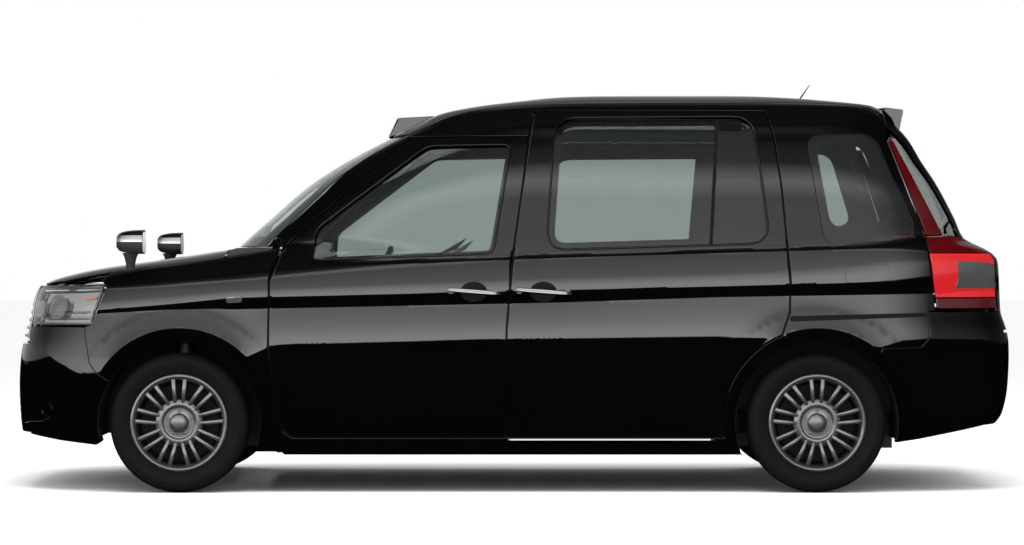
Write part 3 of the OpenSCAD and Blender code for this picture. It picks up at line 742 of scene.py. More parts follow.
class Effects:
    """Surface effects that several finishes share, each a node group."""

    def __init__(self) -> None:
        """Build every group once."""
        self.grain = self.make_grain()
        self.dust = self.make_dust()
        self.weave = self.make_weave()

    @staticmethod
    def make_grain() -> bpy.types.NodeTree:
        """Two sizes of noise: a height for bumps and a slow variation."""
        tree = new_group("surface_grain", {"Fine": 900.0, "Coarse": 6.0},
                         {"Height": "NodeSocketFloat", "Variation": "NodeSocketFloat"})
        came, out = place_node(tree, "NodeGroupInput"), place_node(tree, "NodeGroupOutput")
        where = place_node(tree, "ShaderNodeTexCoord").outputs["Object"]
        fine = place_node(tree, "ShaderNodeTexNoise", {"Vector": where, "Scale": came.outputs["Fine"], "Detail": 3.0})
        slow = place_node(tree, "ShaderNodeTexNoise", {"Vector": where, "Scale": came.outputs["Coarse"], "Detail": 4.0})
        tree.links.new(fine.outputs["Fac"], out.inputs["Height"])
        tree.links.new(slow.outputs["Fac"], out.inputs["Variation"])
        return tree

    @staticmethod
    def make_dust() -> bpy.types.NodeTree:
        """Road dust that thins out with height and gathers in cloudy patches."""
        tree = new_group("road_dust", {"Clean": (0.02, 0.02, 0.02, 1), "Dust": (0.09, 0.08, 0.07, 1), "Top": 0.5,
                                       "Amount": 0.3}, {"Color": "NodeSocketColor", "Mask": "NodeSocketFloat"})
        came, out = place_node(tree, "NodeGroupInput"), place_node(tree, "NodeGroupOutput")
        where = place_node(tree, "ShaderNodeTexCoord").outputs["Object"]
        height = place_node(tree, "ShaderNodeSeparateXYZ", {"Vector": where}).outputs["Z"]
        low = place_node(tree, "ShaderNodeMapRange", {"Value": height, "From Min": 0.02, "From Max": came.outputs["Top"],
                                                      "To Min": 1.0, "To Max": 0.0})
        cloud = place_node(tree, "ShaderNodeTexNoise", {"Vector": where, "Scale": 26.0, "Detail": 6.0})
        patch = place_node(tree, "ShaderNodeMath", {0: low.outputs["Result"], 1: cloud.outputs["Fac"]},
                           operation="MULTIPLY")
        mask = place_node(tree, "ShaderNodeMath", {0: patch.outputs[0], 1: came.outputs["Amount"]},
                          operation="MULTIPLY", use_clamp=True)
        mix = place_node(tree, "ShaderNodeMixRGB", {"Fac": mask.outputs[0], "Color1": came.outputs["Clean"],
                                                    "Color2": came.outputs["Dust"]})
        tree.links.new(mix.outputs[0], out.inputs["Color"])
        tree.links.new(mask.outputs[0], out.inputs["Mask"])
        return tree

    @staticmethod
    def make_weave() -> bpy.types.NodeTree:
        """Plain weave: crossed threads as a height and a thread mask."""
        tree = new_group("plain_weave", {"Threads": 420.0}, {"Height": "NodeSocketFloat", "Mask": "NodeSocketFloat"})
        came, out = place_node(tree, "NodeGroupInput"), place_node(tree, "NodeGroupOutput")
        where = place_node(tree, "ShaderNodeTexCoord").outputs["Object"]
        waves = []
        for axis in ("X", "Y", "Z"):
            waves.append(place_node(tree, "ShaderNodeTexWave", {"Vector": where, "Scale": came.outputs["Threads"],
                                                                "Distortion": 0.6}, bands_direction=axis))
        first = place_node(tree, "ShaderNodeMath", {0: waves[0].outputs["Fac"], 1: waves[1].outputs["Fac"]},
                           operation="MULTIPLY")
        both = place_node(tree, "ShaderNodeMath", {0: first.outputs[0], 1: waves[2].outputs["Fac"]},
                          operation="MAXIMUM")
        tree.links.new(both.outputs[0], out.inputs["Height"])
        tree.links.new(both.outputs[0], out.inputs["Mask"])
        return tree


@dataclass(frozen=True)
class Finish:
    """A plastic, paint, metal or rubber surface with grain and slow variation."""

    name: str
    colour: tuple[float, float, float]
    shade: tuple[float, float, float]
    roughness: tuple[float, float] = (0.4, 0.5)
    metallic: float = 0.0
    specular: float = 0.5
    coat: float = 0.0
    fine: float = 900.0
    coarse: float = 6.0
    bump: float = 0.1
    bump_depth: float = 0.0002
    dust: float = 0.0
    dust_top: float = 0.5
    woven: float = 0.0
    emission: float = 0.0

    def material(self, effects: Effects) -> bpy.types.Material:
        """Build the material.

        Args:
            effects: the shared node groups.
        Returns:
            The material.
        """
        made = bpy.data.materials.new(self.name)
        made.use_nodes = True
        tree = made.node_tree
        tree.nodes.clear()
        grain = place_node(tree, "ShaderNodeGroup", node_tree=effects.grain)
        grain.inputs["Fine"].default_value = self.fine
        grain.inputs["Coarse"].default_value = self.coarse
        colour = place_node(tree, "ShaderNodeMixRGB", {"Fac": grain.outputs["Variation"], "Color1": (*self.colour, 1),
                                                       "Color2": (*self.shade, 1)}).outputs[0]
        height = grain.outputs["Height"]
        if self.woven > 0:
            weave = place_node(tree, "ShaderNodeGroup", node_tree=effects.weave)
            weave.inputs["Threads"].default_value = self.woven
            height = weave.outputs["Height"]
            colour = place_node(tree, "ShaderNodeMixRGB", {"Fac": weave.outputs["Mask"], "Color1": colour,
                                                           "Color2": (*self.shade, 1)}).outputs[0]
        rough = place_node(tree, "ShaderNodeMapRange", {"Value": grain.outputs["Variation"],
                                                        "To Min": self.roughness[0], "To Max": self.roughness[1]})
        if self.dust > 0:
            dust = place_node(tree, "ShaderNodeGroup", node_tree=effects.dust)
            tree.links.new(colour, dust.inputs["Clean"])
            dust.inputs["Top"].default_value = self.dust_top
            dust.inputs["Amount"].default_value = self.dust
            colour = dust.outputs["Color"]
        bump = place_node(tree, "ShaderNodeBump", {"Height": height, "Strength": self.bump,
                                                   "Distance": self.bump_depth})
        shader = place_node(tree, "ShaderNodeBsdfPrincipled", {
            "Base Color": colour, "Roughness": rough.outputs["Result"], "Metallic": self.metallic,
            "Specular IOR Level": self.specular, "Coat Weight": self.coat, "Coat Roughness": 0.015,
            "Normal": bump.outputs["Normal"]})
        if self.emission > 0:
            tree.links.new(colour, shader.inputs["Emission Color"])
            shader.inputs["Emission Strength"].default_value = self.emission
        out = place_node(tree, "ShaderNodeOutputMaterial")
        tree.links.new(shader.outputs[0], out.inputs["Surface"])
        return made


@dataclass(frozen=True)
class Clear:
    """A see-through glass or lens with a faint dust film."""

    name: str
    tint: tuple[float, float, float]
    film: float = 0.03
    roughness: float = 0.0
    refraction: float = 1.45

    def material(self, effects: Effects) -> bpy.types.Material:
        """Build the material.

        Args:
            effects: the shared node groups.
        Returns:
            The material.
        """
        made = bpy.data.materials.new(self.name)
        made.use_nodes = True
        tree = made.node_tree
        tree.nodes.clear()
        grain = place_node(tree, "ShaderNodeGroup", node_tree=effects.grain)
        grain.inputs["Fine"].default_value = 400.0
        grain.inputs["Coarse"].default_value = 3.0
        darker = tuple(c * (1 - self.film) for c in self.tint)
        colour = place_node(tree, "ShaderNodeMixRGB", {"Fac": grain.outputs["Variation"], "Color1": (*self.tint, 1),
                                                       "Color2": (*darker, 1)})
        shader = place_node(tree, "ShaderNodeBsdfPrincipled", {
            "Base Color": colour.outputs[0], "Roughness": self.roughness, "Transmission Weight": 1.0,
            "IOR": self.refraction})
        out = place_node(tree, "ShaderNodeOutputMaterial")
        tree.links.new(shader.outputs[0], out.inputs["Surface"])
        return made


@dataclass
class Palette:
    """Every finish of the cab, ready to use."""

    effects: Effects = field(default_factory=Effects)

    def __post_init__(self) -> None:
        """Mix the finishes."""
        solid = {
            "paint": Finish("gloss_black_paint", (0.001, 0.001, 0.0012), (0.0014, 0.0014, 0.0016), (0.24, 0.3),
                            specular=0.0, coat=1.0, fine=420.0, coarse=1.2, bump=0.02, bump_depth=0.00004),
            "trim": Finish("satin_black_trim", (0.003, 0.003, 0.0033), (0.005, 0.005, 0.0055), (0.3, 0.38),
                           specular=0.15, fine=1600.0, bump=0.12, dust=0.03),
            "plastic": Finish("moulded_dark_plastic", (0.014, 0.014, 0.015), (0.022, 0.022, 0.023), (0.5, 0.62),
                              fine=1500.0, bump=0.3, dust=0.25, dust_top=0.45),
            "under": Finish("underbody_coating", (0.008, 0.008, 0.008), (0.014, 0.013, 0.012), (0.75, 0.9),
                            specular=0.25, fine=260.0, bump=0.5, bump_depth=0.0006, dust=0.5, dust_top=0.6),
            "steel": Finish("dark_steel", (0.05, 0.05, 0.052), (0.08, 0.078, 0.075), (0.42, 0.6), metallic=0.8,
                            fine=500.0, bump=0.2, dust=0.5),
            "cast": Finish("cast_alloy", (0.16, 0.16, 0.16), (0.24, 0.24, 0.235), (0.5, 0.65), metallic=0.7,
                           fine=350.0, bump=0.45, bump_depth=0.0005, dust=0.4),
            "chrome": Finish("chrome_plate", (0.3, 0.305, 0.31), (0.36, 0.365, 0.37), (0.04, 0.08), metallic=1.0,
                             fine=300.0, bump=0.02, bump_depth=0.00005),
            "silver": Finish("silver_wheel_paint", (0.13, 0.134, 0.137), (0.16, 0.165, 0.168), (0.3, 0.38),
                             metallic=0.85, coat=0.5, fine=2600.0, coarse=9.0, bump=0.05, dust=0.12),
            # Painted shade: a near-black matte finish for hollows, laid inside the wheels behind the covers and behind
            # the rear section of the rear door panes.
            "recess": Finish("wheel_recess_paint", (0.004, 0.004, 0.0045), (0.007, 0.007, 0.0075), (0.6, 0.7),
                             specular=0.15, fine=1800.0, bump=0.08, dust=0.06),
            "rubber": Finish("tyre_rubber", (0.003, 0.0032, 0.0034), (0.0045, 0.0047, 0.005), (0.58, 0.72),
                             specular=0.12, fine=700.0, coarse=14.0, bump=0.22, bump_depth=0.0004, dust=0.04,
                             dust_top=0.62),
            "seal": Finish("window_seal_rubber", (0.003, 0.003, 0.003), (0.005, 0.005, 0.005), (0.5, 0.6),
                           specular=0.15, fine=1300.0, bump=0.15),
            "red": Finish("red_lamp_lens", (0.42, 0.008, 0.012), (0.55, 0.02, 0.022), (0.06, 0.1), coat=1.0,
                          fine=320.0, coarse=3.0, bump=0.25, bump_depth=0.0003, emission=0.12),
            "deep_red": Finish("deep_red_lens", (0.045, 0.001, 0.002), (0.07, 0.002, 0.003), (0.05, 0.1), coat=1.0,
                               fine=300.0, bump=0.2, bump_depth=0.0003),
            "amber": Finish("amber_lens", (0.7, 0.2, 0.02), (0.8, 0.26, 0.03), (0.1, 0.14), coat=0.8, fine=600.0,
                            bump=0.3),
            "frost": Finish("clear_ribbed_lens", (0.09, 0.093, 0.096), (0.13, 0.134, 0.138), (0.12, 0.2), metallic=0.5,
                            coat=1.0, fine=500.0, bump=0.2),
            "white": Finish("white_lamp_cover", (0.72, 0.73, 0.72), (0.8, 0.8, 0.79), (0.3, 0.4), fine=900.0,
                            bump=0.06, dust=0.04, dust_top=2.0),
            "cloth": Finish("seat_cloth", (0.05, 0.052, 0.056), (0.075, 0.078, 0.083), (0.85, 0.95), specular=0.2,
                            woven=520.0, bump=0.5, bump_depth=0.0006),
            "liner": Finish("headlining_felt", (0.2, 0.2, 0.195), (0.26, 0.26, 0.25), (0.9, 1.0), specular=0.1,
                            fine=1900.0, bump=0.5, bump_depth=0.0005),
            "carpet": Finish("cabin_carpet", (0.018, 0.018, 0.019), (0.03, 0.03, 0.031), (0.92, 1.0), specular=0.1,
                             fine=2300.0, bump=0.8, bump_depth=0.001),
        }
        clear = {
            "glass": Clear("tinted_window_glass", (0.455, 0.51, 0.48)),
            "shield": Clear("windshield_glass", (0.78, 0.84, 0.81)),
            "lens": Clear("clear_lamp_lens", (0.93, 0.94, 0.94)),
        }
        self.made = {key: f.material(self.effects) for key, f in {**solid, **clear}.items()}

    def __getitem__(self, key: str) -> bpy.types.Material:
        """The finish called key."""
        return self.made[key]


class Workshop:
    """Keeps the frame and the palette, and finishes off each piece the same way."""

    def __init__(self, frame: dict, palette: Palette) -> None:
        """Remember the frame and the palette."""
        self.frame = frame
        self.palette = palette
        self.pieces: dict[str, bpy.types.Object] = {}

    def fit(self, obj: bpy.types.Object, body: str, slot: str, *nodes: str) -> bpy.types.Object:
        """Ride a piece on its body and let it stand for CAD nodes.

        Args:
            obj: the piece.
            body: the CAD body it moves with.
            slot: the record's material slot; not used.
            nodes: the CAD nodes that it stands for.
        Returns:
            The piece.
        """
        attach(obj, body)
        if nodes:
            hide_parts(*nodes)
        self.pieces[obj.name] = obj
        LOG.info("%s rides on %s, %d faces", obj.name, body, len(obj.data.polygons))
        return obj


# --------------------------------------------------------------------------- shared lines
@dataclass
class Lines:
    """Lines that neighbouring panels share, in side view stations and heights or end view half widths."""

    gap: float = 6.0
    parting: tuple = ((-27, 250), (-23, 702), (3, 1020), (77, 1539))
    front_edge: tuple = ((-1002, 1042), (-1043, 917), (-1047, 637), (-1026, 452), (-983, 273), (-950, 241))
    rear_edge: tuple = ((1138, 1542), (1166, 1317), (1186, 1044), (1197, 895), (1193, 777), (1167, 706))
    front_glass: tuple = ((-6, 1505), (-369, 1500), (-850, 1137), (-864, 1005), (-83, 1033))
    quarter_glass: tuple = ((1279, 1547), (1578, 1560), (1762, 1102), (1352, 1057))
    fender_seam: tuple = ((-1740, 477), (-1803, 520), (-1829, 556), (-1847, 657), (-1854, 712))
    quarter_seam: tuple = ((1579, 533), (1592, 622), (1765, 628), (1796, 665), (1803, 782))
    hood_side: tuple = ((-1252, 702), (-1360, 702), (-1700, 668), (-1960, 600), (-2034, 520), (-2048, 504))
    shield: tuple = ((655, 1062), (605, 1300), (500, 1548))
    lid: tuple = ((615, 696), (630, 1000), (560, 1600))
    arch_radius: float = 352.0

    def door_top(self, side: Side) -> float:
        """Height of the rear door's top edge."""
        return 1652.0 if side is Side.LEFT else 1560.0

    def front_door(self) -> Loop:
        """Outline of a front door."""
        back = [(x - self.gap / 2, z) for x, z in self.parting]
        return rounded([*self.front_edge, (-33, 241), *back, (-452, 1539)], 14, 4)

    def rear_door(self, side: Side) -> Loop:
        """Outline of a rear door."""
        front = [(x + self.gap / 2, z) for x, z in self.parting]
        top = self.door_top(side)
        tail = [p for p in self.rear_edge if p[1] < top - 5]
        curve = arc(1315, 301, 411, 112, 186, 16)
        head = [(100, top), (1105, top)] if side is Side.LEFT else [(83, top), (1136, top)]
        return rounded([*front, *head, *tail, *curve, (872, 241), (-12, 241)], 12, 4)

    def rear_window(self, side: Side, shrink: float = 0.0) -> Loop:
        """Outline of a rear door's window."""
        top = 1624.0 if side is Side.LEFT else 1515.0
        return grown(rounded([(191, top), (1052, top + 6), (1112, 1078), (149, 1048)], 92, 8), -shrink)

    def body_side(self, side: Side) -> Loop:
        """Outline of a body side: sill, quarter panel, rear pillar, roof rail and front pillar in one."""
        g, top = self.gap, self.door_top(side) + self.gap
        arch = arc(1315, 301, self.arch_radius, 203.3, 41.3, 44)
        rail = FORM.plan(np.array([(x, -521 + (x + 700) * 25 / 2334) for x in np.linspace(1632, -452, 40)]))
        pillar = FORM.end_points([(-506, 1552), (-612, 1300), (-648, 1110), (-650, 1101)], False)
        pillar = np.array([p for a, b in zip(pillar, pillar[1:]) for p in np.linspace(a, b, 8)])
        pillar = FORM.end_points([(float(p[1]), float(p[2])) for p in pillar], False)
        head = [(92, top), (1111, top)] if side is Side.LEFT else [(77, top), (1139, top)]
        tail = [(x + g, z) for x, z in self.rear_edge if z < top - 5]
        inner = arc(1315, 301, 405, 112, 189.4, 30)
        before = [(-984, 162), (992, 162), *arch, *self.quarter_seam[1:], (1828, 786), (1786, 1110), (1636, 1540)]
        after = [(-1014, 1096), (-1001, 1051), (-456, 1545), (72, 1545), *head, *tail, *inner, (915, 235),
                 (-953, 235), (-986, 262)]
        middle = FORM.unplace(rail) + FORM.unplace(pillar)
        flip = -side.value
        return ([(t * 1.0, z) for t, z in FORM.side_loop(resampled_line(before), side)]
                + [(t * flip, z) for t, z in middle] + FORM.side_loop(resampled_line(after), side))

    def fender(self, side: Side) -> Loop:
        """Outline of a front fender."""
        g = self.gap
        arch = arc(-1435, 301, self.arch_radius, 150, -21, 46)
        edge = [(x - g, z) for x, z in self.front_edge[::-1]][1:]
        hood = FORM.plan(np.array([(x, -(y + 8)) for x, y in
                                   [(-1130, 704), *self.hood_side[:4]]] + [(-1752, -665)]))
        plan_line = [(-1150, -716), (-1252, -716), (-1360, -711), (-1520, -696), (-1700, -677), (-1748, -668)]
        top = FORM.plan(np.array([p for a, b in zip(plan_line, plan_line[1:])
                                  for p in zip(np.linspace(a[0], b[0], 10), np.linspace(a[1], b[1], 10))]))
        del hood
        flip = -side.value
        first = [*arch, (-990, 175), *edge, (-1012, 1054), (-1020, 1086)]
        shield = FORM.end_points([(-658, 1090), (-664, 1066)], False)
        last = [(-1757, 888), (-1817, 726), *self.fender_seam[::-1][0:1], *self.fender_seam[::-1][1:]]
        return (FORM.side_loop(resampled_line(first), side) + [(t * flip, z) for t, z in FORM.unplace(shield)]
                + [(t * flip, z) for t, z in FORM.unplace(top)] + FORM.side_loop(resampled_line(last), side))

    def creases(self, side: Side | None, tail: bool = False) -> list[Loop]:
        """Crease lines of one side, or of both with the nose between them, in wrap coordinates."""
        out: list[Loop] = []
        for line in (FORM.sill_line, FORM.band_low, FORM.band_top, FORM.belt):
            dense = [(float(x), float(np.interp(x, [p[0] for p in line], [p[1] for p in line])))
                     for x in np.arange(-2150, 2151, 20)]
            for each in (Side if side is None else [side]):
                run = FORM.side_loop(dense, each)
                if tail and each is Side.RIGHT:
                    run = [(t + 2 * float(FORM.runs[-1]), z) for t, z in run]
                out.append(run)
        for axle in FORM.axles:
            ring = arc(axle, FORM.hub_height, FORM.flare_radius, 8, 172, 60)
            for each in (Side if side is None else [side]):
                run = FORM.side_loop(ring, each)
                if tail and each is Side.RIGHT:
                    run = [(t + 2 * float(FORM.runs[-1]), z) for t, z in run]
                out.append(run)
        return out


def resampled_line(points: Loop, step: float = 14.0) -> Loop:
    """An open line with points no further apart than step."""
    out: Loop = [points[0]]
    for a, b in zip(points, points[1:]):
        n = max(1, math.ceil(math.dist(a, b) / step))
        out += [(a[0] + (b[0] - a[0]) * k / n, a[1] + (b[1] - a[1]) * k / n) for k in range(1, n + 1)]
    return out


def mirrored_end(half: Loop, rear: bool) -> Loop:
    """A whole end outline in wrap coordinates from the left half of (y, z) points, bottom to top."""
    dense = resampled_line(half)
    whole = dense + [(-y, z) for y, z in dense[::-1]]
    return FORM.end_loop(whole, rear)


LINES = Lines()


# --------------------------------------------------------------------------- body
@dataclass
class Body:
    """Fixed outer panels, their flanges and linings."""

    shop: Workshop
    liner_inset: float = 55.0

    def make(self) -> None:
        """Build every fixed panel."""
        paint = self.shop.palette["paint"]
        fenders = Shape()
        for side in Side:
            name = side.name.lower()
            creases = LINES.creases(side)
            glass = FORM.side_loop(resampled(rounded(list(LINES.quarter_glass), 70, 7), 12), side)
            skin = Sheet(LINES.body_side(side), WRAP, [glass], creases).build(f"side_skin_{name}", paint)
            self.shop.fit(skin, "body", "black_paint", f"body_side_{name}")
            Sheet(LINES.fender(side), WRAP, [], creases, step=20).mesh(fenders)
        obj = fenders.build("fender_skins", [paint], tidy=False)
        self.shop.fit(obj, "body", "black_paint", "front_fenders")
        self.make_roof(paint)
        self.make_bumpers(paint)
        self.make_arches()
        self.make_linings()

    def make_roof(self, paint: bpy.types.Material) -> None:
        """Roof skin and cowl."""
        front = FORM.end_points([(y, 1556) for y in np.linspace(-504, 504, 40)], False)
        outline = [(float(p[0]), float(p[1])) for p in front] + [(1630, 490), (1630, -490)]
        roof = Sheet(outline, PLAN, step=34, rim=8).build("roof_skin", paint)
        self.shop.fit(roof, "body", "black_paint", "roof_panel")
        back = FORM.end_points([(y, 1059) for y in np.linspace(684, -684, 50)], False)
        outline = [(-1243.0, -684.0)] + [(-1243.0, 684.0)] + [(max(float(p[0]), -1236.0), float(p[1])) for p in back]
        cowl = Sheet(outline[::-1], PLAN, step=22, hem=1.5, rim=12, sink=2).mesh(Shape())
        self.shop.fit(cowl.build("cowl_cover", [self.shop.palette["plastic"]], tidy=False), "body",
                      "black_plastic", "cowl_panel")

    def make_bumpers(self, paint: bpy.types.Material) -> None:
        """Front and rear bumper skins with their lips, and the wheel arch part of each."""
        arch = arc(-1435, 301, 352, 151, 194, 14)
        half = [*[(x, z) for x, z in LINES.fender_seam[::-1]], *arch[1:], (-1805, 199), (-1965, 216), (-2120, 240)]
        left = FORM.side_loop(resampled_line(half), Side.LEFT)
        low = FORM.end_loop(resampled_line([(-560, 246), (560, 246)]), False)
        right = [(-t, z) for t, z in left[::-1]]
        notch = FORM.end_loop(resampled_line([(541, 712), (566, 634), (-566, 634), (-541, 712)]), False)
        outline = left + low + right + notch
        bumper = Sheet(outline, WRAP, [], LINES.creases(None), step=22, rim=20)
        self.shop.fit(bumper.build("front_bumper_skin", paint), "body", "black_paint", "front_bumper")
        arch = arc(1315, 301, 352, 41, -14, 16)
        half = [*[(x, z - 4 * (z > 780)) for x, z in LINES.quarter_seam[::-1]], *arch[1:], (1665, 214), (1761, 228),
                (2061, 283)]
        left = FORM.side_loop(resampled_line(half), Side.LEFT)
        whole = 2 * float(FORM.runs[-1])
        low = FORM.end_loop(resampled_line([(-600, 284), (600, 284)]), True)
        right = [(whole - t, z) for t, z in left[::-1]]
        notch = FORM.end_loop(resampled_line([(630, 778), (626, 686), (-626, 686), (-630, 778)]), True)
        bumper = Sheet(left + low + right + notch, TAIL, [], LINES.creases(None, True), step=22, rim=20)
        self.shop.fit(bumper.build("rear_bumper_skin", paint), "body", "black_paint", "rear_bumper")

    def make_arches(self) -> None:
        """Wheel arch liners with moulded ribs."""
        shape = Shape()
        for axle in FORM.axles:
            for side in Side:
                rows = []
                first, last = (-20, 190) if axle < 0 else (-12, 200)
                for a in np.linspace(first, last, 90):
                    rib = 3.0 * (math.sin(math.radians(a * 12)) > 0.6)
                    c, s = math.cos(math.radians(a)), math.sin(math.radians(a))
                    rows.append([[axle + (352 - rib * (0.1 < k < 0.9)) * c, side.value * (822 - 330 * k),
                                  301 + (352 - rib * (0.1 < k < 0.9)) * s] for k in np.linspace(0, 1, 12)])
                pts = np.array(rows).reshape(-1, 3)
                faces = [(i * 12 + j, i * 12 + j + 1, (i + 1) * 12 + j + 1, (i + 1) * 12 + j)
                         for i in range(89) for j in range(11)]
                shape.add(pts, faces)
                wall = [(axle + 352 * math.cos(math.radians(a)), side.value * 492, 301 + 352 * math.sin(math.radians(a)))
                        for a in np.linspace(first, last, 90)]
                shape.add(np.array(wall), [tuple(range(90))])
        self.shop.fit(shape.build("arch_liners", [self.shop.palette["under"]]), "body", "black_plastic")

    def make_linings(self) -> None:
        """Door aperture flanges, pillar trims and headlining."""
        flanges, trims = Shape(), Shape()
        for side in Side:
            for door in (LINES.front_door(), LINES.rear_door(side)):
                ring = FORM.side_loop(resampled(grown(door, 8), 14), side)
                hole = FORM.side_loop(resampled(grown(door, -24), 14), side)
                Sheet(ring, WRAP, [hole], step=60, hem=0, rim=0, sink=22).mesh(flanges)
            glass = FORM.side_loop(resampled(rounded(list(LINES.quarter_glass), 70, 7), 14), side)
            Sheet(LINES.body_side(side), WRAP, [glass], step=60, hem=0, rim=0, inward=48).mesh(trims)
        self.shop.fit(flanges.build("door_aperture_flanges", [self.shop.palette["trim"]], tidy=False), "body",
                      "black_paint")
        self.shop.fit(trims.build("pillar_trims", [self.shop.palette["plastic"]], tidy=False), "body",
                      "black_plastic")
        outline = [(-440, -470), (1600, -450), (1600, 450), (-440, 470)]
        liner = Sheet(outline, PLAN, step=50, hem=0, rim=0, sink=26).build("headlining", self.shop.palette["liner"])
        self.shop.fit(liner, "body", "black_plastic")


@dataclass
class Hood:
    """Hood skin with its turned edges and underside."""

    shop: Workshop

    def make(self) -> None:
        """Build the hood."""
        side = list(LINES.hood_side)
        nose = FORM.end_points([(y, 899) for y in np.linspace(500, -500, 50)], False)
        left = [(x, -y) for x, y in side]
        outline = left + [(float(p[0]), -float(p[1])) for p in nose] + [(x, y) for x, y in side[::-1]]
        outline = [p for i, p in enumerate(outline) if math.dist(p, outline[i - 1]) > 3]
        skin = Sheet(outline, PLAN, step=24, rim=16, back=0).mesh(Shape())
        inner = grown(outline, -30)
        Sheet(inner, PLAN, step=50, hem=0, rim=0, sink=18).mesh(skin, 1)
        obj = skin.build("hood_skin", [self.shop.palette["paint"], self.shop.palette["under"]], tidy=False)
        self.shop.fit(obj, "hood", "black_paint", "hood")


@dataclass
class Door:
    """A side door: skin, window, seals, trim card and handle."""

    shop: Workshop
    side: Side
    rear: bool

    @property
    def name(self) -> str:
        """Name of the CAD node."""
        if not self.rear:
            return f"front_door_{self.side.name.lower()}"
        return "sliding_door_left" if self.side is Side.LEFT else "rear_door_right"

    @property
    def glass_node(self) -> str:
        """Name of the CAD node of the pane."""
        if not self.rear:
            return f"front_door_glass_{self.side.name.lower()}"
        return "sliding_door_glass" if self.side is Side.LEFT else "rear_door_glass_right"

    def make(self) -> None:
        """Build the door."""
        pal, side = self.shop.palette, self.side
        body = "body" if self.name == "sliding_door_left" else self.name
        flat = LINES.rear_door(side) if self.rear else LINES.front_door()
        window = LINES.rear_window(side) if self.rear else rounded(list(LINES.front_glass), 34, 5)
        outline = FORM.side_loop(resampled(flat, 13), side)
        hole = FORM.side_loop(resampled(window, 11), side)
        skin = Sheet(outline, WRAP, [hole], LINES.creases(side), hem=3).mesh(Shape())
        inner = FORM.side_loop(resampled(grown(flat, -26), 16), side)
        card_hole = FORM.side_loop(resampled(grown(window, 4), 14), side)
        Sheet(inner, WRAP, [card_hole], step=50, hem=6, rim=24, inward=60).mesh(skin, 1)
        obj = skin.build(f"{self.name}_skin", [pal["paint"], pal["plastic"]], tidy=False)
        self.shop.fit(obj, body, "black_paint", self.name)
        pane = FORM.side_loop(resampled(grown(window, 6), 12), side)
        glass = Sheet(pane, WRAP, [], step=60, hem=0, rim=0, sink=8, back=4).build(f"{self.name}_pane", pal["glass"])
        self.shop.fit(glass, body, "tinted_glass", self.glass_node)
        self.make_seals(window, body)
        self.make_handle(body)

    def make_seals(self, window: Loop, body: str) -> None:
        """Window surround bead, dark glass border, divider bar and a sheet of painted shade behind the rear section of
        a rear pane.
        """
        pal, side = self.shop.palette, self.side
        shape = Shape()
        ring = np.array(FORM.side_loop(resampled(grown(window, 2), 10), side))
        path = FORM.wrap(ring)
        shape.sweep(path, circle(5.0, 8), WRAP.normal(ring), closed=True, finish=0)
        border = FORM.side_loop(resampled(grown(window, 6), 12), side)
        width = 30 if self.rear else 14
        cut = FORM.side_loop(resampled(grown(window, -width), 12), side)
        Sheet(border, WRAP, [cut], step=50, hem=0, rim=0, sink=14).mesh(shape, 1)
        if self.rear:
            bar = [(903, 1616), (889, 1616), (850, 1062), (866, 1062)]
            Sheet(FORM.side_loop(resampled(bar, 14), side), WRAP, [], step=50, hem=2, rim=6, sink=3).mesh(shape, 1)
            # Painted shade: a near-black sheet behind the rear section of the pane stands in for the shade seen through
            # the glass there.
            dark = [(903, 1640), (1140, 1640), (1140, 1040), (862, 1040)]
            Sheet(FORM.side_loop(resampled(clip_to(dark, window), 14), side), WRAP, [], step=50, hem=0, rim=0,
                  sink=15).mesh(shape, 2)
        obj = shape.build(f"{self.name}_seals", [pal["paint"], pal["seal"], pal["recess"]], tidy=False)
        self.shop.fit(obj, body, "black_plastic")

    def make_handle(self, body: str) -> None:
        """Pull handle with its dark cup and end caps."""
        pal, side = self.shop.palette, self.side
        x0, x1 = (-282, -47) if not self.rear else ((12, 258) if side is Side.LEFT else (780, 1020))
        x0, x1 = x0 + 4, x1 - 4
        rise = 0.02 * (x1 - x0)
        shape = Shape()
        xs = np.linspace(x0, x1, 26)
        bow = np.sin(np.linspace(0, math.pi, 26)) ** 0.4
        y = side.value * (834 + 9 + 10 * bow)
        path = np.stack([xs, y, 872 - 18 * (xs - x0) / (x1 - x0) + rise], axis=1)
        size = 0.55 + 0.45 * bow
        shape.sweep(path, rounded_rectangle(22, 11, 9, 4), np.array([0, side.value, 0.25]), scale=size, finish=0)
        for x in (x0 + 16, x1 - 16):
            stem = np.array([[x, side.value * 826, 866], [x, side.value * 846, 866]])
            shape.sweep(stem, rounded_rectangle(16, 24, 8, 3), np.array([1.0, 0, 0]), finish=0)
        middle = (x0 + x1) / 2
        cup = [(middle + 58 * math.cos(a), 866 + 44 * math.sin(a)) for a in np.linspace(0, 2 * math.pi, 40)[:-1]]
        Sheet(FORM.side_loop(cup, side), WRAP, [], step=12, hem=1, rim=0, sink=-0.8).mesh(shape, 1)
        obj = shape.build(f"{self.name}_handle", [pal["chrome"], pal["seal"]])
        self.shop.fit(obj, body, "chrome_trim")


def clip_to(loop: Loop, border: Loop) -> Loop:
    """The part of a convex border that lies inside a loop of straight sides.

    Args:
        loop: the cutting polygon, convex.
        border: the outline to cut.
    Returns:
        The cut outline.
    """
    a = loop if signed_area(loop) > 0 else loop[::-1]
    points = list(border)
    for i, p in enumerate(a):
        q = a[(i + 1) % len(a)]
        out: Loop = []
        for j, s in enumerate(points):
            e = points[(j + 1) % len(points)]
            ds = (q[0] - p[0]) * (s[1] - p[1]) - (q[1] - p[1]) * (s[0] - p[0])
            de = (q[0] - p[0]) * (e[1] - p[1]) - (q[1] - p[1]) * (e[0] - p[0])
            if ds >= 0:
                out.append(s)
            if ds * de < 0:
                t = ds / (ds - de)
                out.append((s[0] + (e[0] - s[0]) * t, s[1] + (e[1] - s[1]) * t))
        points = out
    return points


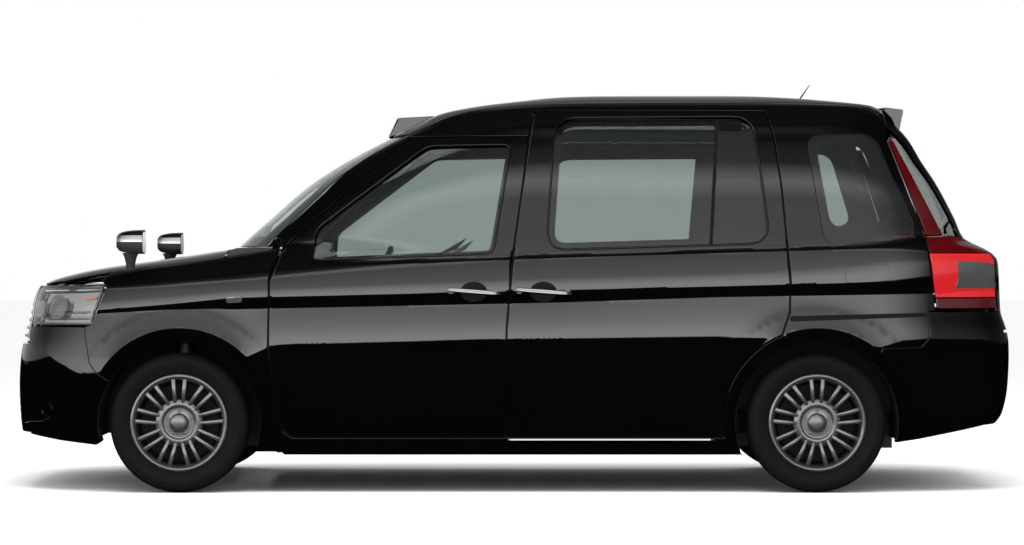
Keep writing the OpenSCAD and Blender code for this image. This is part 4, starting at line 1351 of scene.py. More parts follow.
@dataclass
class FixedGlass:
    """Windshield and quarter windows."""

    shop: Workshop

    def make(self) -> None:
        """Build the fixed glass and its dark borders."""
        pal = self.shop.palette
        half = [(-y, z) for y, z in ((651, 1067), (601, 1300), (496, 1546))]
        outline = mirrored_end(half, False)
        glass = Sheet(outline, WRAP, [], step=50, hem=0, rim=0, sink=4, back=5).build("windshield_pane", pal["shield"])
        self.shop.fit(glass, "body", "tinted_glass", "windshield")
        border = mirrored_end([(-y, z) for y, z in ((648, 1070), (598, 1300), (493, 1543))], False)
        cut = mirrored_end([(-y, z) for y, z in ((590, 1110), (556, 1300), (462, 1505))], False)
        frit = Sheet(border, WRAP, [cut], step=50, hem=0, rim=0, sink=10).build("windshield_border", pal["seal"])
        self.shop.fit(frit, "body", "black_plastic")
        panes, seals = Shape(), Shape()
        for side in Side:
            flat = rounded(list(LINES.quarter_glass), 70, 7)
            Sheet(FORM.side_loop(resampled(grown(flat, -1), 12), side), WRAP, [], step=50, hem=1, rim=0, sink=1,
                  back=4).mesh(panes)
            light = rounded([(1323, 1510), (1522, 1510), (1635, 1175), (1379, 1142)], 60, 7)
            Sheet(FORM.side_loop(resampled(grown(flat, 2), 12), side), WRAP,
                  [FORM.side_loop(resampled(light, 12), side)], step=50, hem=0, rim=0, sink=9).mesh(seals)
        self.shop.fit(panes.build("quarter_panes", [pal["glass"]], tidy=False), "body", "tinted_glass",
                      "quarter_glasses")
        self.shop.fit(seals.build("quarter_borders", [pal["seal"]], tidy=False), "body", "black_plastic")


@dataclass
class Tailgate:
    """Tailgate with glass, handle, wiper and spoiler."""

    shop: Workshop

    def make(self) -> None:
        """Build the tailgate."""
        pal = self.shop.palette
        head = FORM.plan(np.array([(1643.0, y) for y in np.linspace(-515, 515, 60)]))
        half = resampled_line([(-615, 699), (-630, 1000), (-562, 1590)])
        left = FORM.end_loop(half, True)
        right = FORM.end_loop([(-y, z) for y, z in half[::-1]], True)
        low = FORM.end_loop(resampled_line([(614, 697), (-614, 697)]), True)
        outline = left + FORM.unplace(head, tail=True) + right + low
        window = mirrored_end(rounded_half([(-556, 1118), (-491, 1566)], 50), True)
        skin = Sheet(outline, TAIL, [window], step=26, rim=16).mesh(Shape())
        obj = skin.build("tailgate_skin", [pal["paint"]], tidy=False)
        self.shop.fit(obj, "tailgate", "black_paint", "tailgate")
        pane = mirrored_end(rounded_half([(-562, 1112), (-497, 1572)], 50), True)
        glass = Sheet(pane, TAIL, [], step=60, hem=0, rim=0, sink=7, back=4).build("tailgate_pane", pal["glass"])
        self.shop.fit(glass, "tailgate", "tinted_glass", "tailgate_glass")
        card = Shape()
        inner = mirrored_end([(-590, 730), (-600, 1000), (-566, 1100)], True)
        Sheet(inner, TAIL, [], step=60, hem=6, rim=20, sink=45).mesh(card)
        self.shop.fit(card.build("tailgate_card", [pal["plastic"]], tidy=False), "tailgate", "black_plastic")
        self.make_fittings()

    def make_fittings(self) -> None:
        """Handle bar, wiper and spoiler."""
        pal = self.shop.palette
        shape = Shape()
        ys = np.linspace(-330, 330, 40)
        at = np.array(FORM.end_loop([(float(y), 850) for y in ys], True))
        path = FORM.wrap_tail(at) + np.array([9.0, 0, 0])
        size = 0.4 + 0.6 * np.clip(np.sin(np.linspace(0, math.pi, 40)) * 4, 0, 1)
        shape.sweep(path, rounded_rectangle(46, 26, 12, 4), TAIL.normal(at), scale=size, finish=0)
        wiper = np.array(FORM.end_loop([(60.0, 1128.0), (20.0, 1150.0), (-180.0, 1176.0), (-330.0, 1170.0)], True))
        shape.sweep(FORM.wrap_tail(wiper) + np.array([8.0, 0, 2]), rounded_rectangle(12, 9, 4, 3),
                    TAIL.normal(wiper), scale=[1.6, 1.2, 0.9, 0.7], finish=1)
        obj = shape.build("tailgate_fittings", [pal["paint"], pal["trim"]])
        self.shop.fit(obj, "tailgate", "black_plastic")
        spoiler = Shape()
        profile = [(1644, 1690), (1753, 1680), (1753, 1668), (1737, 1592), (1728, 1592), (1700, 1650), (1650, 1668)]
        sections = []
        for y in np.linspace(-478, 478, 41):
            pull = 26 * (abs(y) / 478) ** 4
            drop = 12 * (abs(y) / 478) ** 2
            sections.append(np.array([[x - pull * (x > 1660), y, z - drop] for x, z in rounded(profile, 7, 3)]))
        spoiler.loft(sections)
        self.shop.fit(spoiler.build("spoiler_wing", [pal["paint"]]), "tailgate", "black_paint", "rear_spoiler")


def rounded_half(half: Loop, radius: float) -> Loop:
    """Left half of a mirrored outline, bottom to top, with both corners rounded."""
    (y0, z0), (y1, z1) = half[0], half[-1]
    whole = rounded([(0, z0), (y0, z0), (y1, z1), (0, z1)], radius, 6)
    return [p for p in whole if p[0] < -20]


@dataclass
class Lamps:
    """Headlamps, tail lamps, side markers, grille and bumper garnish."""

    shop: Workshop

    def make(self) -> None:
        """Build the lamps."""
        self.make_head()
        self.make_tail()
        self.make_grille()
        self.make_markers()

    def head_loop(self, side: Side, shrink: float = 0.0) -> Loop:
        """Outline of a headlamp in wrap coordinates."""
        s = shrink
        flank = [(-1822 - s, 726 + s), (-1768 - s, 893 - s)]
        run = FORM.side_loop(resampled_line(flank), Side.LEFT)
        top = FORM.end_points([(-y, 893 - s) for y in np.linspace(700, 480 + s, 20)], False)
        inner = FORM.end_points(resampled_line([(-480 - s, 893 - s), (-538 - s, 726 + s)]), False)
        low = FORM.end_points([(-y, 722 + s) for y in np.linspace(540 + s, 760, 20)], False)
        loop = run + FORM.unplace(top) + FORM.unplace(inner) + FORM.unplace(low)
        return loop if side is Side.LEFT else [(-t, z) for t, z in loop]

    def make_head(self) -> None:
        """Clear lens over a chromed bucket with a projector and a reflector strip."""
        pal = self.shop.palette
        lens, bucket = Shape(), Shape()
        for side in Side:
            Sheet(self.head_loop(side), WRAP, [], step=16, hem=2, rim=0, sink=0.5, back=3).mesh(lens)
            Sheet(self.head_loop(side, 2), WRAP, [], step=18, hem=0, rim=0, sink=34).mesh(bucket, 0)
            rim = np.array(self.head_loop(side, 6))
            bucket.sweep(FORM.wrap(rim) - WRAP.normal(rim) * 12, rounded_rectangle(8, 20, 3, 2), WRAP.normal(rim),
                         closed=True, finish=1)
            for x, z, r in ((-1985, 800, 44), (-2075, 790, 30)):
                at = np.array(FORM.side_loop([(x, z)], side))
                n = WRAP.normal(at)[0]
                c = FORM.wrap(at)[0]
                bucket.add(*disc_stack(c, n, [(r, -30), (r + 7, -14), (r + 9, -10), (r, -10), (r - 8, -16),
                                              (r * 0.6, -12), (r * 0.3, -9), (1, -8)]), finish=1)
            ambers = [(-1858, 850), (-1806, 850), (-1812, 838), (-1862, 836)]
            Sheet(FORM.side_loop(resampled(ambers, 10), side), WRAP, [], step=12, hem=1, rim=6, sink=24).mesh(bucket, 2)
            for z in (752, 770):
                line = np.array(FORM.side_loop([(float(x), z) for x in np.linspace(-1850, -2060, 16)], side))
                bucket.sweep(FORM.wrap(line) - WRAP.normal(line) * 24, rounded_rectangle(7, 8, 2, 2),
                             WRAP.normal(line), finish=1)
        self.shop.fit(bucket.build("headlamp_buckets", [pal["chrome"], pal["silver"], pal["amber"]]), "body",
                      "silver_paint")
        self.shop.fit(lens.build("headlamp_lenses", [pal["lens"]], tidy=False), "body", "clear_lens", "headlamps")

    def make_tail(self) -> None:
        """Tail lamps: red body, dark lower band, clear section and the strip up the pillar."""
        pal = self.shop.palette
        shape = Shape()
        whole = 2 * float(FORM.runs[-1])
        zones = ((1036, 1104, 1), (842, 1032, 0), (794, 838, 1))
        for side in Side:
            for low, high, finish in zones:
                def lean(z: float, a: float, b: float) -> float:
                    """Station of a lamp edge at height z."""
                    return a + (b - a) * (z - 790) / 320
                flank = FORM.side_loop(resampled_line([(lean(high, 1837, 1794), high), (lean(low, 1837, 1794), low)]),
                                       Side.LEFT)
                row = FORM.unplace(FORM.end_points([(-y, low) for y in np.linspace(790, 634, 16)], True))
                top = FORM.unplace(FORM.end_points([(-y, high) for y in np.linspace(632, 780, 16)], True))
                loop = flank + row + top
                if side is Side.RIGHT:
                    loop = [(whole - t, z) for t, z in loop]
                Sheet(loop, TAIL, [], step=18, hem=2.5, rim=10, sink=-0.0).mesh(shape, finish)
                Sheet(loop, TAIL, [], step=40, hem=0, rim=0, sink=12).mesh(shape, 3)
            strip = FORM.side_loop(resampled([(1797, 1110), (1650, 1528), (1668, 1528), (1872, 1112)], 14), Side.LEFT)
            if side is Side.RIGHT:
                strip = [(whole - t, z) for t, z in strip]
            Sheet(strip, TAIL, [], step=18, hem=2.5, rim=10).mesh(shape, 1)
            Sheet(strip, TAIL, [], step=40, hem=0, rim=0, sink=12).mesh(shape, 3)
            panel = FORM.unplace(FORM.end_points(
                resampled([(-770, 880), (-640, 880), (-640, 985), (-770, 1000)], 12), True))
            if side is Side.RIGHT:
                panel = [(whole - t, z) for t, z in panel]
            Sheet(panel, TAIL, [], step=14, hem=1.5, rim=3, sink=-1.0).mesh(shape, 2)
        obj = shape.build("tail_lamp_lenses", [pal["red"], pal["deep_red"], pal["frost"], pal["trim"]], tidy=False)
        self.shop.fit(obj, "body", "red_lens", "tail_lamps")

    def make_grille(self) -> None:
        """Grille with chrome bars and surround, lower intake bars, garnish and fog lamps."""
        pal = self.shop.palette
        shape = Shape()
        outline = mirrored_end([(-y, z) for y, z in ((556, 644), (466, 884))], False)
        Sheet(outline, WRAP, [], step=40, hem=0, rim=0, sink=26).mesh(shape, 0)
        ring = np.array(outline)
        shape.sweep(FORM.wrap(ring) - WRAP.normal(ring) * 3, rounded_rectangle(12, 16, 5, 3), WRAP.normal(ring),
                    closed=True, finish=1)
        for k in range(6):
            z = 672 + 34.0 * k
            wide = 545 - (z - 644) * 0.375
            line = np.array(FORM.end_loop([(float(y), z) for y in np.linspace(-wide, wide, 40)], False))
            shape.sweep(FORM.wrap(line) - WRAP.normal(line) * 8, rounded_rectangle(13, 18, 4, 3), WRAP.normal(line),
                        finish=1)
        for k in range(4):
            z = 300 + 34.0 * k
            line = np.array(FORM.end_loop([(float(y), z) for y in np.linspace(-470, 470, 40)], False))
            shape.sweep(FORM.wrap(line) - WRAP.normal(line) * 2, rounded_rectangle(9, 8, 3, 3), WRAP.normal(line),
                        finish=2)
        for side in Side:
            hook = [(-2150, 286), (-2100, 276), (-2040, 292), (-1996, 334), (-2010, 322), (-2050, 300), (-2110, 296)]
            Sheet(FORM.side_loop(resampled(hook[::-1], 8), side), WRAP, [], step=10, hem=1.5, rim=5, sink=-0.5
                  ).mesh(shape, 1)
            at = np.array(FORM.side_loop([(-2030, 350)], side))
            n, c = WRAP.normal(at)[0], FORM.wrap(at)[0]
            shape.add(*disc_stack(c, n, [(34, -2), (34, 1), (28, 1), (26, -2), (12, 0), (1, 0)]), finish=1)
        obj = shape.build("grille_bars", [pal["trim"], pal["chrome"], pal["trim"]])
        self.shop.fit(obj, "body", "chrome_trim", "grille")

    def make_markers(self) -> None:
        """Side markers, fuel lid, rail slot and the sill strips."""
        pal = self.shop.palette
        shape = Shape()
        for side in Side:
            mark = rounded([(-1232, 817), (-1163, 819), (-1163, 847), (-1232, 845)], 12, 4)
            Sheet(FORM.side_loop(mark, side), WRAP, [], step=8, hem=2, rim=2, sink=-3).mesh(shape, 0)
        lid = rounded([(1435, 904), (1629, 910), (1629, 984), (1435, 978)], 18, 4)
        Sheet(FORM.side_loop(resampled(lid, 10), Side.LEFT), WRAP, [], step=20, hem=1.2, rim=1.5, sink=-0.7
              ).mesh(shape, 1)
        # Painted shade: the door rail slot is a flat black sheet laid on the skin, standing in for the shade inside the
        # groove.
        slot = rounded([(1196, 738), (1786, 758), (1786, 776), (1196, 762)], 8, 3)
        Sheet(FORM.side_loop(resampled(slot, 10), Side.LEFT), WRAP, [], step=16, hem=1, rim=1, sink=-0.6
              ).mesh(shape, 2)
        obj = shape.build("side_fittings", [pal["frost"], pal["paint"], pal["seal"]], tidy=False)
        self.shop.fit(obj, "body", "clear_lens")
        strip = Shape()
        for side in Side:
            line = np.array(FORM.side_loop([(float(x), 222.0) for x in np.linspace(-17, 874, 40)], side))
            bead = [(15 * c, 8 + 7 * k) for c, k in circle(1, 16)]
            strip.sweep(FORM.wrap(line) - WRAP.normal(line) * 9, bead, WRAP.normal(line))
        self.shop.fit(strip.build("sill_strips", [pal["chrome"]], tidy=False), "body", "chrome_trim")


def disc_stack(centre: np.ndarray, axis: np.ndarray, profile: Loop, count: int = 36
               ) -> tuple[np.ndarray, list[tuple[int, ...]]]:
    """A turned shape about any axis.

    Args:
        centre: a point on the axis.
        axis: direction of the axis.
        profile: (radius, distance along the axis) pairs.
        count: steps round.
    Returns:
        Points and faces.
    """
    a = axis / np.linalg.norm(axis)
    u = np.cross(a, [0.0, 0.0, 1.0])
    u /= np.linalg.norm(u)
    v = np.cross(a, u)
    points = [centre + a * h + r * (u * math.cos(t) + v * math.sin(t))
              for t in np.linspace(0, 2 * math.pi, count, endpoint=False) for r, h in profile]
    n = len(profile)
    faces: list[tuple[int, ...]] = []
    for i in range(count):
        p, q = i * n, (i + 1) % count * n
        faces += [(p + j, p + j + 1, q + j + 1, q + j) for j in range(n - 1)]
    faces.append(tuple(i * n + n - 1 for i in range(count)))
    return np.array(points), faces


@dataclass
class RoofGear:
    """Roof sign, antenna and fender mirrors."""

    shop: Workshop

    def make(self) -> None:
        """Build the pieces."""
        pal = self.shop.palette
        sign = Shape()
        sections = []
        for y in np.linspace(-172, 172, 15):
            shrink = 8 * (abs(y) / 172) ** 6
            base = [(-560 + shrink, 1560), (-519 + shrink, 1648 - shrink), (-356, 1657 - shrink), (-356, 1652)]
            low = [(-356, 1652), (-440, 1602), (-520, 1572)]
            sections.append(np.array([[x, y, z] for x, z in base[:3] + low[0:1] + low[1:]]))
        sign.loft(sections)
        face = []
        for y in np.linspace(-160, 160, 9):
            face.append(np.array([[-558.5, y, 1568], [-524, y, 1642], [-519, y, 1641], [-553, y, 1567]]))
        sign.loft(face, finish=1)
        self.shop.fit(sign.build("roof_sign_box", [pal["paint"], pal["white"]]), "body", "white_plastic", "roof_sign")
        mast = Shape()
        t = np.linspace(0, 1, 14)
        path = np.stack([1309 + 53 * t, 0 * t, 1727 + 77 * t], axis=1)
        mast.sweep(path, circle(4.2, 10), np.array([0, 1.0, 0]), scale=1 - 0.65 * t, finish=0)
        base = [np.array([[1309 + 34 * s * c, 14 * s * sn, 1722 + h] for c, sn in circle(1, 20)])
                for s, h in ((1, 0), (0.9, 8), (0.55, 15), (0.2, 18))]
        mast.loft(base, finish=0)
        self.shop.fit(mast.build("antenna_mast", [pal["trim"]]), "body", "black_plastic", "antenna")
        mirrors = Shape()
        for side in Side:
            self.mirror(mirrors, side.value * 765)
        self.shop.fit(mirrors.build("mirror_pods", [pal["plastic"], pal["chrome"], pal["glass"]]), "body",
                      "chrome_trim", "fender_mirrors")

    def mirror(self, shape: Shape, y: float) -> None:
        """One fender mirror: stalk, housing, chromed cap and glass."""
        stalk = [np.array([[-1650 + grow * c, y + 0.8 * grow * s, z] for c, s in circle(1, 16)])
                 for z, grow in ((964, 18), (990, 21), (1015, 27), (1034, 36))]
        shape.loft(stalk, finish=0)
        pod, cap = [], []
        for t in np.linspace(0, 1, 12):
            x = -1708 + 116 * t
            swell = (1 - (1 - t) ** 2.6) ** 0.5
            wide, tall = 30 + 42 * swell, 24 + 27 * swell
            ring = np.array([[x, y + wide * np.sign(c) * abs(c) ** 0.6, 1080 + tall * np.sign(s) * abs(s) ** 0.6]
                             for c, s in circle(1, 28)])
            pod.append(ring)
            upper = ring[(ring[:, 2] > 1072)]
            cap.append(upper[np.argsort(upper[:, 1])])
        shape.loft(pod, finish=0)
        n = min(len(c) for c in cap)
        rows = [c[:n] + np.array([0, 0, 1.5]) for c in cap]
        pts = np.concatenate([r + (r - np.array([r[:, 0].mean(), y, 1080])) * 0.02 for r in rows])
        faces = [(i * n + j, i * n + j + 1, (i + 1) * n + j + 1, (i + 1) * n + j)
                 for i in range(len(rows) - 1) for j in range(n - 1)]
        shape.add(pts, faces, finish=1)
        glass = pod[-1] * np.array([1, 0.0, 0.0]) + (pod[-1] - [0, y, 1080]) * np.array([0, 0.9, 0.88]) + [1.5, y, 1080]
        shape.add(np.concatenate([glass]), [tuple(range(len(glass)))], finish=2)


@dataclass
class Wheel:
    """A tyre with tread, and a wheel with a spoked cover."""

    shop: Workshop
    axle: float
    side: Side
    pairs: int = 9
    tyre_radius: float = 301.0
    middle: float = 740.0

    @property
    def name(self) -> str:
        """Front or rear and the side, as in the CAD nodes."""
        return f"{'front' if self.axle < 0 else 'rear'}_{self.side.name.lower()}"

    def make(self) -> None:
        """Build tyre and wheel."""
        body = f"{self.name.split('_')[0]}_wheel_{self.name.split('_')[1]}"
        pal = self.shop.palette
        tyre = self.make_tyre().build(f"tyre_body_{self.name}", [pal["rubber"]], sharp=28)
        self.shop.fit(tyre, body, "tyre_rubber", f"tyre_{self.name}")
        cover = self.make_cover().build(f"wheel_cover_{self.name}", [pal["silver"], pal["recess"], pal["cast"]])
        self.shop.fit(cover, body, "silver_paint", f"wheel_{self.name}")

    def make_tyre(self) -> Shape:
        """Tyre turned from its section, with grooves, sipes and sidewall rings."""
        wall = [(191, 70), (199, 76), (204, 79), (209, 80.5), (212, 80), (226, 86), (240, 90), (252, 91.8),
                (254, 92.3), (262, 92.2), (264, 91.4), (274, 89.5), (283, 85), (289, 80), (294, 73), (297.5, 66)]
        tread = [(299.2, 58), (300, 52), (293.5, 51), (293.5, 44), (300.6, 43), (301, 24), (294, 23), (294, 15),
                 (301, 14)]
        outer = wall + tread
        section = outer + [(r, -h) for r, h in outer[::-1]]
        count, n = 216, len(section)
        angles = np.linspace(0, 2 * math.pi, count, endpoint=False)
        points = np.zeros((count, n, 3))
        for i, a in enumerate(angles):
            for j, (r, h) in enumerate(section):
                cut = 0.0
                if r > 299 and ((i + (2 if h > 0 else 0) + int(abs(h) / 14)) % 6 == 0):
                    cut = 5.0
                if 283 <= r < 299 and i % 6 == 0:
                    cut = 2.5
                points[i, j] = ((r - cut) * math.cos(a), h, (r - cut) * math.sin(a))
        flat = points.reshape(-1, 3) + np.array([self.axle, self.side.value * self.middle, self.tyre_radius])
        faces = []
        for i in range(count):
            a, b = i * n, (i + 1) % count * n
            faces += [(a + j, a + (j + 1) % n, b + (j + 1) % n, b + j) for j in range(n)]
        return Shape().add(flat, faces)

    def make_cover(self) -> Shape:
        """Rim barrel, cover ring, paired spokes, hub and cap."""
        c, s = (self.axle, self.side.value * self.middle, self.tyre_radius), self.side.value
        shape = Shape()
        # Painted shade: the rim barrel and the disc behind the spokes take the recess finish, so the openings between
        # the spokes read as a shaded hollow.
        shape.lathe(c, [(190, 69), (190, -69), (181, -69), (179, -30), (170, 0), (60, 10), (34, 10), (34, 20),
                        (60, 22), (168, 22), (178, 40), (181, 66)], 96, s, finish=1, closed=True)
        shape.lathe(c, [(207, 79), (210, 81.5), (209, 85.5), (204, 87.8), (198, 87.5), (193, 84), (189, 80), (187, 72),
                        (190, 66), (198, 68)], 120, s, closed=True)
        shape.lathe(c, [(104, 62), (100, 72), (90, 76.5), (76, 78), (70, 76), (66, 72), (60, 71.5), (42, 73),
                        (38, 78), (34, 81), (20, 83.4), (1, 84), (1, 60), (60, 58)], 96, s, closed=True)
        for k in range(self.pairs):
            for lean in (-1, 1):
                base = math.radians(90 + 360 / self.pairs * k)
                spread = math.radians(7.6)
                tip = base + lean * spread
                foot = base + lean * spread * 1.45
                a = np.array([86 * math.cos(foot), 0, 86 * math.sin(foot)])
                b = np.array([194 * math.cos(tip), 0, 194 * math.sin(tip)])
                t = np.linspace(0, 1, 12)[:, None]
                path = a * (1 - t) + b * t
                lift = 70 + 9.5 * np.sin(t[:, 0] * math.pi * 0.85 + 0.25)
                path[:, 1] = s * lift
                width = 0.82 + 0.3 * t[:, 0]
                shape.sweep(path + np.array(c), [(-9.5, -9), (9.5, -9), (9.2, 1), (6.5, 4.2), (0, 5.4), (-6.5, 4.2),
                                                 (-9.2, 1)], np.array([0, s, 0.0]), scale=width)
        for k in range(5):
            a = math.radians(90 + 72 * k)
            at = np.array(c) + [52 * math.cos(a), s * 71, 52 * math.sin(a)]
            shape.add(*disc_stack(at, np.array([0, float(s), 0]), [(8, 0), (8, 5), (6, 7), (1, 7.2)], 12), finish=2)
        return shape


@dataclass
class Cabin:
    """Seats, dashboard and steering wheel."""

    shop: Workshop
    lean: float = 12.0

    def make(self) -> None:
        """Build the cabin."""
        pal = self.shop.palette
        front, rear = Shape(), Shape()
        for y in (-360, 360):
            self.seat(front, -330, y, 496)
            self.headrest(front, -330, y)
        obj = front.build("front_seat_pads", [pal["cloth"], pal["plastic"]], sharp=60)
        self.shop.fit(obj, "body", "seat_cover", "front_seats")
        self.seat(rear, 830, 0, 1176)
        for y in (-360, 360):
            self.headrest(rear, 830, y)
        obj2 = rear.build("rear_bench_pads", [pal["cloth"], pal["plastic"]], sharp=60)
        self.shop.fit(obj2, "body", "seat_cover", "rear_bench")
        dash = Shape()
        profile = rounded([(-998, 650), (-760, 650), (-742, 760), (-790, 900), (-830, 955), (-900, 968), (-998, 960)],
                          30, 4)
        dash.loft([np.array([[x + 20 * (abs(y) / 616) ** 6, y, z] for x, z in profile])
                   for y in np.linspace(-616, 616, 25)])
        hood = rounded([(-850, 940), (-745, 930), (-745, 962), (-800, 968)], 8, 3)
        dash.loft([np.array([[x, y, z] for x, z in hood]) for y in np.linspace(220, 500, 9)])
        self.shop.fit(dash.build("dashboard_moulding", [pal["plastic"]]), "body", "black_plastic", "dashboard")
        wheel = Shape()
        ring = np.array([[171 * c, 171 * s, 0] for c, s in circle(1, 64)])
        wheel.sweep(ring, circle(12.5, 12), np.array([0, 0, 1.0]), closed=True)
        for a in (math.pi, 0.35, -0.35):
            t = np.linspace(0.2, 0.98, 8)
            path = np.stack([171 * t * math.cos(a + math.pi / 2), 171 * t * math.sin(a + math.pi / 2), -10 + 8 * t], 1)
            wheel.sweep(path, rounded_rectangle(26, 12, 5, 3), np.array([0, 0, 1.0]))
        wheel.loft([np.array([[s * 62 * np.sign(c) * abs(c) ** 0.6, s * 52 * np.sign(k) * abs(k) ** 0.6, h]
                              for c, k in circle(1, 28)]) for s, h in ((0.9, -22), (1, -12), (1, 6), (0.8, 14), (0.2, 16))])
        wheel.turned((0, 0, 0), (0, 1, 0), -65).moved((-640, 360, 900))
        self.shop.fit(wheel.build("steering_wheel_rim", [pal["plastic"]]), "body", "black_plastic", "steering_wheel")

    @staticmethod
    def cushion(shape: Shape, size: tuple[float, float, float], seams: Sequence[float]) -> Shape:
        """A crowned pad about the origin with sewn channels across its width.

        Args:
            shape: the shape to add to.
            size: length, width and thickness.
            seams: places of the channels as shares of the half width.
        Returns:
            The shape.
        """
        long, wide, thick = size
        sections = []
        for t in np.sin(np.linspace(-math.pi / 2, math.pi / 2, 25)):
            y = t * wide / 2
            pull = (1 - abs(t) ** 5) ** 0.35 if abs(t) < 1 else 0.02
            groove = sum(math.exp(-((y - s * wide / 2) / 7) ** 2) for s in seams)
            ring = []
            for c, s in circle(1, 44):
                px = np.sign(c) * abs(c) ** 0.32 * long / 2
                pz = np.sign(s) * abs(s) ** 0.42 * thick / 2
                crown = 1 - 0.16 * (px / (long / 2)) ** 2 - 0.1 * t * t - 0.14 * groove * (s > 0)
                ring.append([px * (0.9 + 0.1 * pull), y, pz * max(pull, 0.25) * crown])
            sections.append(np.array(ring))
        return shape.loft(sections)

    def seat(self, shape: Shape, x: float, y: float, wide: float) -> None:
        """Cushion, backrest and plinth of a seat whose place is x, y."""
        seams = (-0.55, 0.55) if wide < 600 else (-0.8, -0.33, 0, 0.33, 0.8)
        pad = self.cushion(Shape(), (478, wide, 166), seams).moved((x - 20, y, 415))
        self.merge(shape, pad)
        back = self.cushion(Shape(), (556, wide, 108), seams)
        back.turned((0, 0, 0), (0, 1, 0), -90).turned((0, 0, 0), (0, 1, 0), self.lean)
        lean = math.radians(self.lean)
        back.moved((x + 150 + 55 * math.cos(lean) + 280 * math.sin(lean), y,
                    500 - 55 * math.sin(lean) + 280 * math.cos(lean)))
        self.merge(shape, back)
        plinth = [np.array([[x + 30 + a, y + b, z] for a, b in rounded_rectangle(296, wide - 124, 20, 3)])
                  for z in (246, 300, 334)]
        shape.loft(plinth, finish=1)

    def headrest(self, shape: Shape, x: float, y: float) -> None:
        """Headrest pad on two posts."""
        pad = self.cushion(Shape(), (168, 246, 76), ())
        pad.turned((0, 0, 0), (0, 1, 0), -90).turned((0, 0, 0), (0, 1, 0), self.lean)
        lean = math.radians(self.lean)
        centre = (x + 285 + 40 * math.cos(lean) + 85 * math.sin(lean), y,
                  1066 - 40 * math.sin(lean) + 85 * math.cos(lean))
        self.merge(shape, pad.moved(centre))
        for dy in (-60, 60):
            path = np.array([[centre[0] - 28, y + dy, centre[2] - 130], [centre[0] - 10, y + dy, centre[2] - 40]])
            shape.sweep(path, circle(6, 10), np.array([0, 1.0, 0]), finish=1)

    @staticmethod
    def merge(shape: Shape, part: Shape) -> None:
        """Add one shape to another."""
        shape.add(np.concatenate(part.points), part.faces, None, 0)


@dataclass
class Chassis:
    """CAD nodes under the skin that stay as they are and get their finishes."""

    shop: Workshop
    finishes: tuple = (("floor_pan", "under"), ("engine_block", "cast"), ("front_suspension", "steel"),
                       ("rear_axle", "steel"), ("exhaust", "steel"), ("front_knuckle_left", "cast"),
                       ("front_knuckle_right", "cast"))

    def make(self) -> None:
        """Dress the nodes."""
        for node, finish in self.finishes:
            obj = self.shop.frame["nodes"][node]
            obj.data.materials.clear()
            obj.data.materials.append(self.shop.palette[finish])
            LOG.info("%s keeps its shape and takes %s", node, finish)


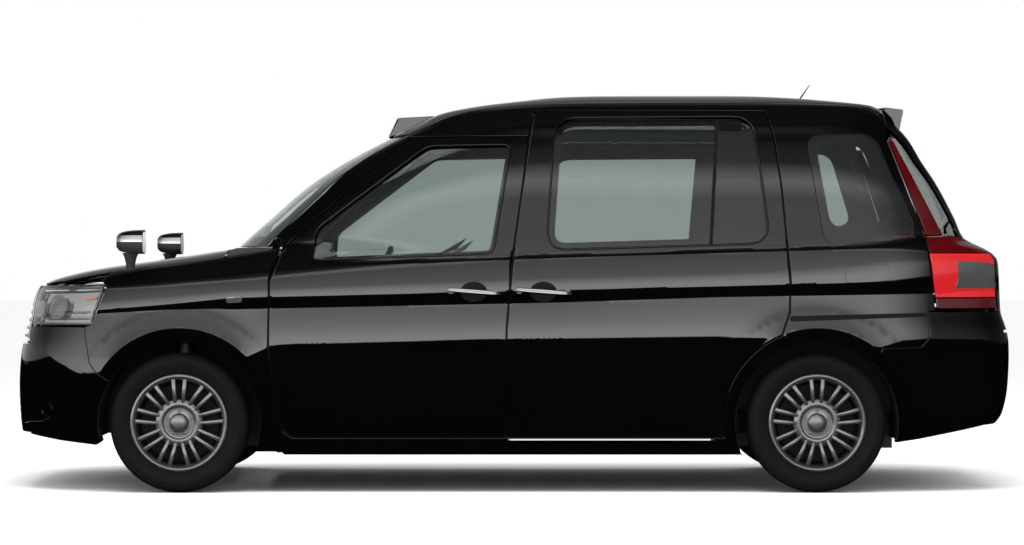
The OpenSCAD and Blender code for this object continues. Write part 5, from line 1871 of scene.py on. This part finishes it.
# --------------------------------------------------------------------------- studio
@dataclass
class Studio:
    """Floor, surroundings, lights and camera."""

    lens: float = 107.8
    distance: float = 14.03
    height: float = 1.016
    glow: tuple = ((0.497, 0.0), (0.503, 4.9), (0.55, 4.6), (0.587, 3.4), (0.621, 1.9), (0.695, 1.55), (0.765, 1.35),
                   (0.797, 2.9), (0.812, 1.8), (0.828, 0.4), (0.9, 0.02), (1.0, 0.2))

    def make(self) -> None:
        """Set the stage."""
        self.make_floor()
        self.make_world()
        self.make_lights()
        data = bpy.data.cameras.new("camera")
        data.lens = self.lens
        data.sensor_width = 36.0
        data.shift_y = -0.0151
        data.clip_end = 200
        camera = bpy.data.objects.new("camera", data)
        camera.location = (0.0, -self.distance, self.height)
        camera.rotation_euler = (math.radians(90), 0, 0)
        bpy.context.scene.collection.objects.link(camera)
        bpy.context.scene.camera = camera

    @staticmethod
    def make_floor() -> None:
        """A wide pale floor."""
        mesh = bpy.data.meshes.new("floor")
        mesh.from_pydata([(-60, -60, 0), (60, -60, 0), (60, 60, 0), (-60, 60, 0)], [], [(0, 1, 2, 3)])
        floor = bpy.data.objects.new("floor", mesh)
        bpy.context.scene.collection.objects.link(floor)
        made = bpy.data.materials.new("pale_floor")
        made.use_nodes = True
        tree = made.node_tree
        tree.nodes.clear()
        where = place_node(tree, "ShaderNodeTexCoord").outputs["Object"]
        noise = place_node(tree, "ShaderNodeTexNoise", {"Vector": where, "Scale": 2.0, "Detail": 3.0})
        mix = place_node(tree, "ShaderNodeMixRGB", {"Fac": noise.outputs["Fac"], "Color1": (0.93, 0.93, 0.93, 1),
                                                    "Color2": (0.95, 0.95, 0.95, 1)})
        shader = place_node(tree, "ShaderNodeBsdfPrincipled", {"Base Color": mix.outputs[0], "Roughness": 0.9,
                                                               "Specular IOR Level": 0.0})
        out = place_node(tree, "ShaderNodeOutputMaterial")
        tree.links.new(shader.outputs[0], out.inputs["Surface"])
        mesh.materials.append(made)
        floor.visible_glossy = False

    def make_world(self) -> None:
        """White surroundings; mirrored rays see a dark ground under a bright low sky."""
        world = bpy.data.worlds.new("studio")
        bpy.context.scene.world = world
        world.use_nodes = True
        tree = world.node_tree
        tree.nodes.clear()
        where = place_node(tree, "ShaderNodeTexCoord").outputs["Generated"]
        axes = place_node(tree, "ShaderNodeSeparateXYZ", {"Vector": where}).outputs
        up = axes["Z"]
        aside = place_node(tree, "ShaderNodeMapRange", {"Value": axes["Y"], "From Min": -0.9, "From Max": -0.1,
                                                        "To Min": 1.0, "To Max": 0.16})
        along = place_node(tree, "ShaderNodeMapRange", {"Value": axes["X"], "From Min": 0.25, "From Max": 0.45,
                                                        "To Min": 1.0, "To Max": 0.1})
        facing = place_node(tree, "ShaderNodeMath", {0: aside.outputs[0], 1: along.outputs[0]}, operation="MULTIPLY")
        share = place_node(tree, "ShaderNodeMapRange", {"Value": up, "From Min": -1.0, "From Max": 1.0})
        ramp = place_node(tree, "ShaderNodeValToRGB", {"Fac": share.outputs["Result"]})
        band = ramp.color_ramp
        peak = max(v for _, v in self.glow)
        while len(band.elements) < len(self.glow):
            band.elements.new(0.5)
        for element, (place, value) in zip(band.elements, self.glow):
            element.position = place
            element.color = (value / peak, value / peak, value / peak, 1)
        level = place_node(tree, "ShaderNodeMath", {0: facing.outputs[0], 1: peak}, operation="MULTIPLY")
        mirror = place_node(tree, "ShaderNodeBackground", {"Color": ramp.outputs["Color"],
                                                           "Strength": level.outputs[0]})
        plain = place_node(tree, "ShaderNodeBackground", {"Color": (1, 1, 1, 1), "Strength": 1.0})
        path = place_node(tree, "ShaderNodeLightPath")
        through = place_node(tree, "ShaderNodeMath", {0: 1.0, 1: path.outputs["Is Transmission Ray"]},
                             operation="SUBTRACT")
        mask = place_node(tree, "ShaderNodeMath", {0: path.outputs["Is Glossy Ray"], 1: through.outputs[0]},
                          operation="MULTIPLY")
        mix = place_node(tree, "ShaderNodeMixShader", {0: mask.outputs[0], 1: plain.outputs[0], 2: mirror.outputs[0]})
        out = place_node(tree, "ShaderNodeOutputWorld")
        tree.links.new(mix.outputs[0], out.inputs["Surface"])

    @staticmethod
    def make_lights() -> None:
        """One soft light overhead that mirrors don't show."""
        data = bpy.data.lights.new("overhead", "AREA")
        data.energy = 520
        data.size = 7
        data.size_y = 4
        data.shape = "RECTANGLE"
        light = bpy.data.objects.new("overhead", data)
        light.location = (0, -1.5, 6)
        light.visible_glossy = False
        bpy.context.scene.collection.objects.link(light)


def main() -> None:
    """Build the cab round its frame."""
    logging.basicConfig(level=logging.INFO, format="%(message)s", stream=sys.stdout)
    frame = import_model()
    shop = Workshop(frame, Palette())
    Body(shop).make()
    Hood(shop).make()
    for side in Side:
        for rear in (False, True):
            Door(shop, side, rear).make()
    FixedGlass(shop).make()
    Tailgate(shop).make()
    Lamps(shop).make()
    RoofGear(shop).make()
    for axle in FORM.axles:
        for side in Side:
            Wheel(shop, axle, side).make()
    Cabin(shop).make()
    Chassis(shop).make()
    Studio().make()
    bpy.context.scene.view_settings.view_transform = "Standard"
    LOG.info("%d pieces built", len(shop.pieces))


if __name__ == "__main__":
    main()
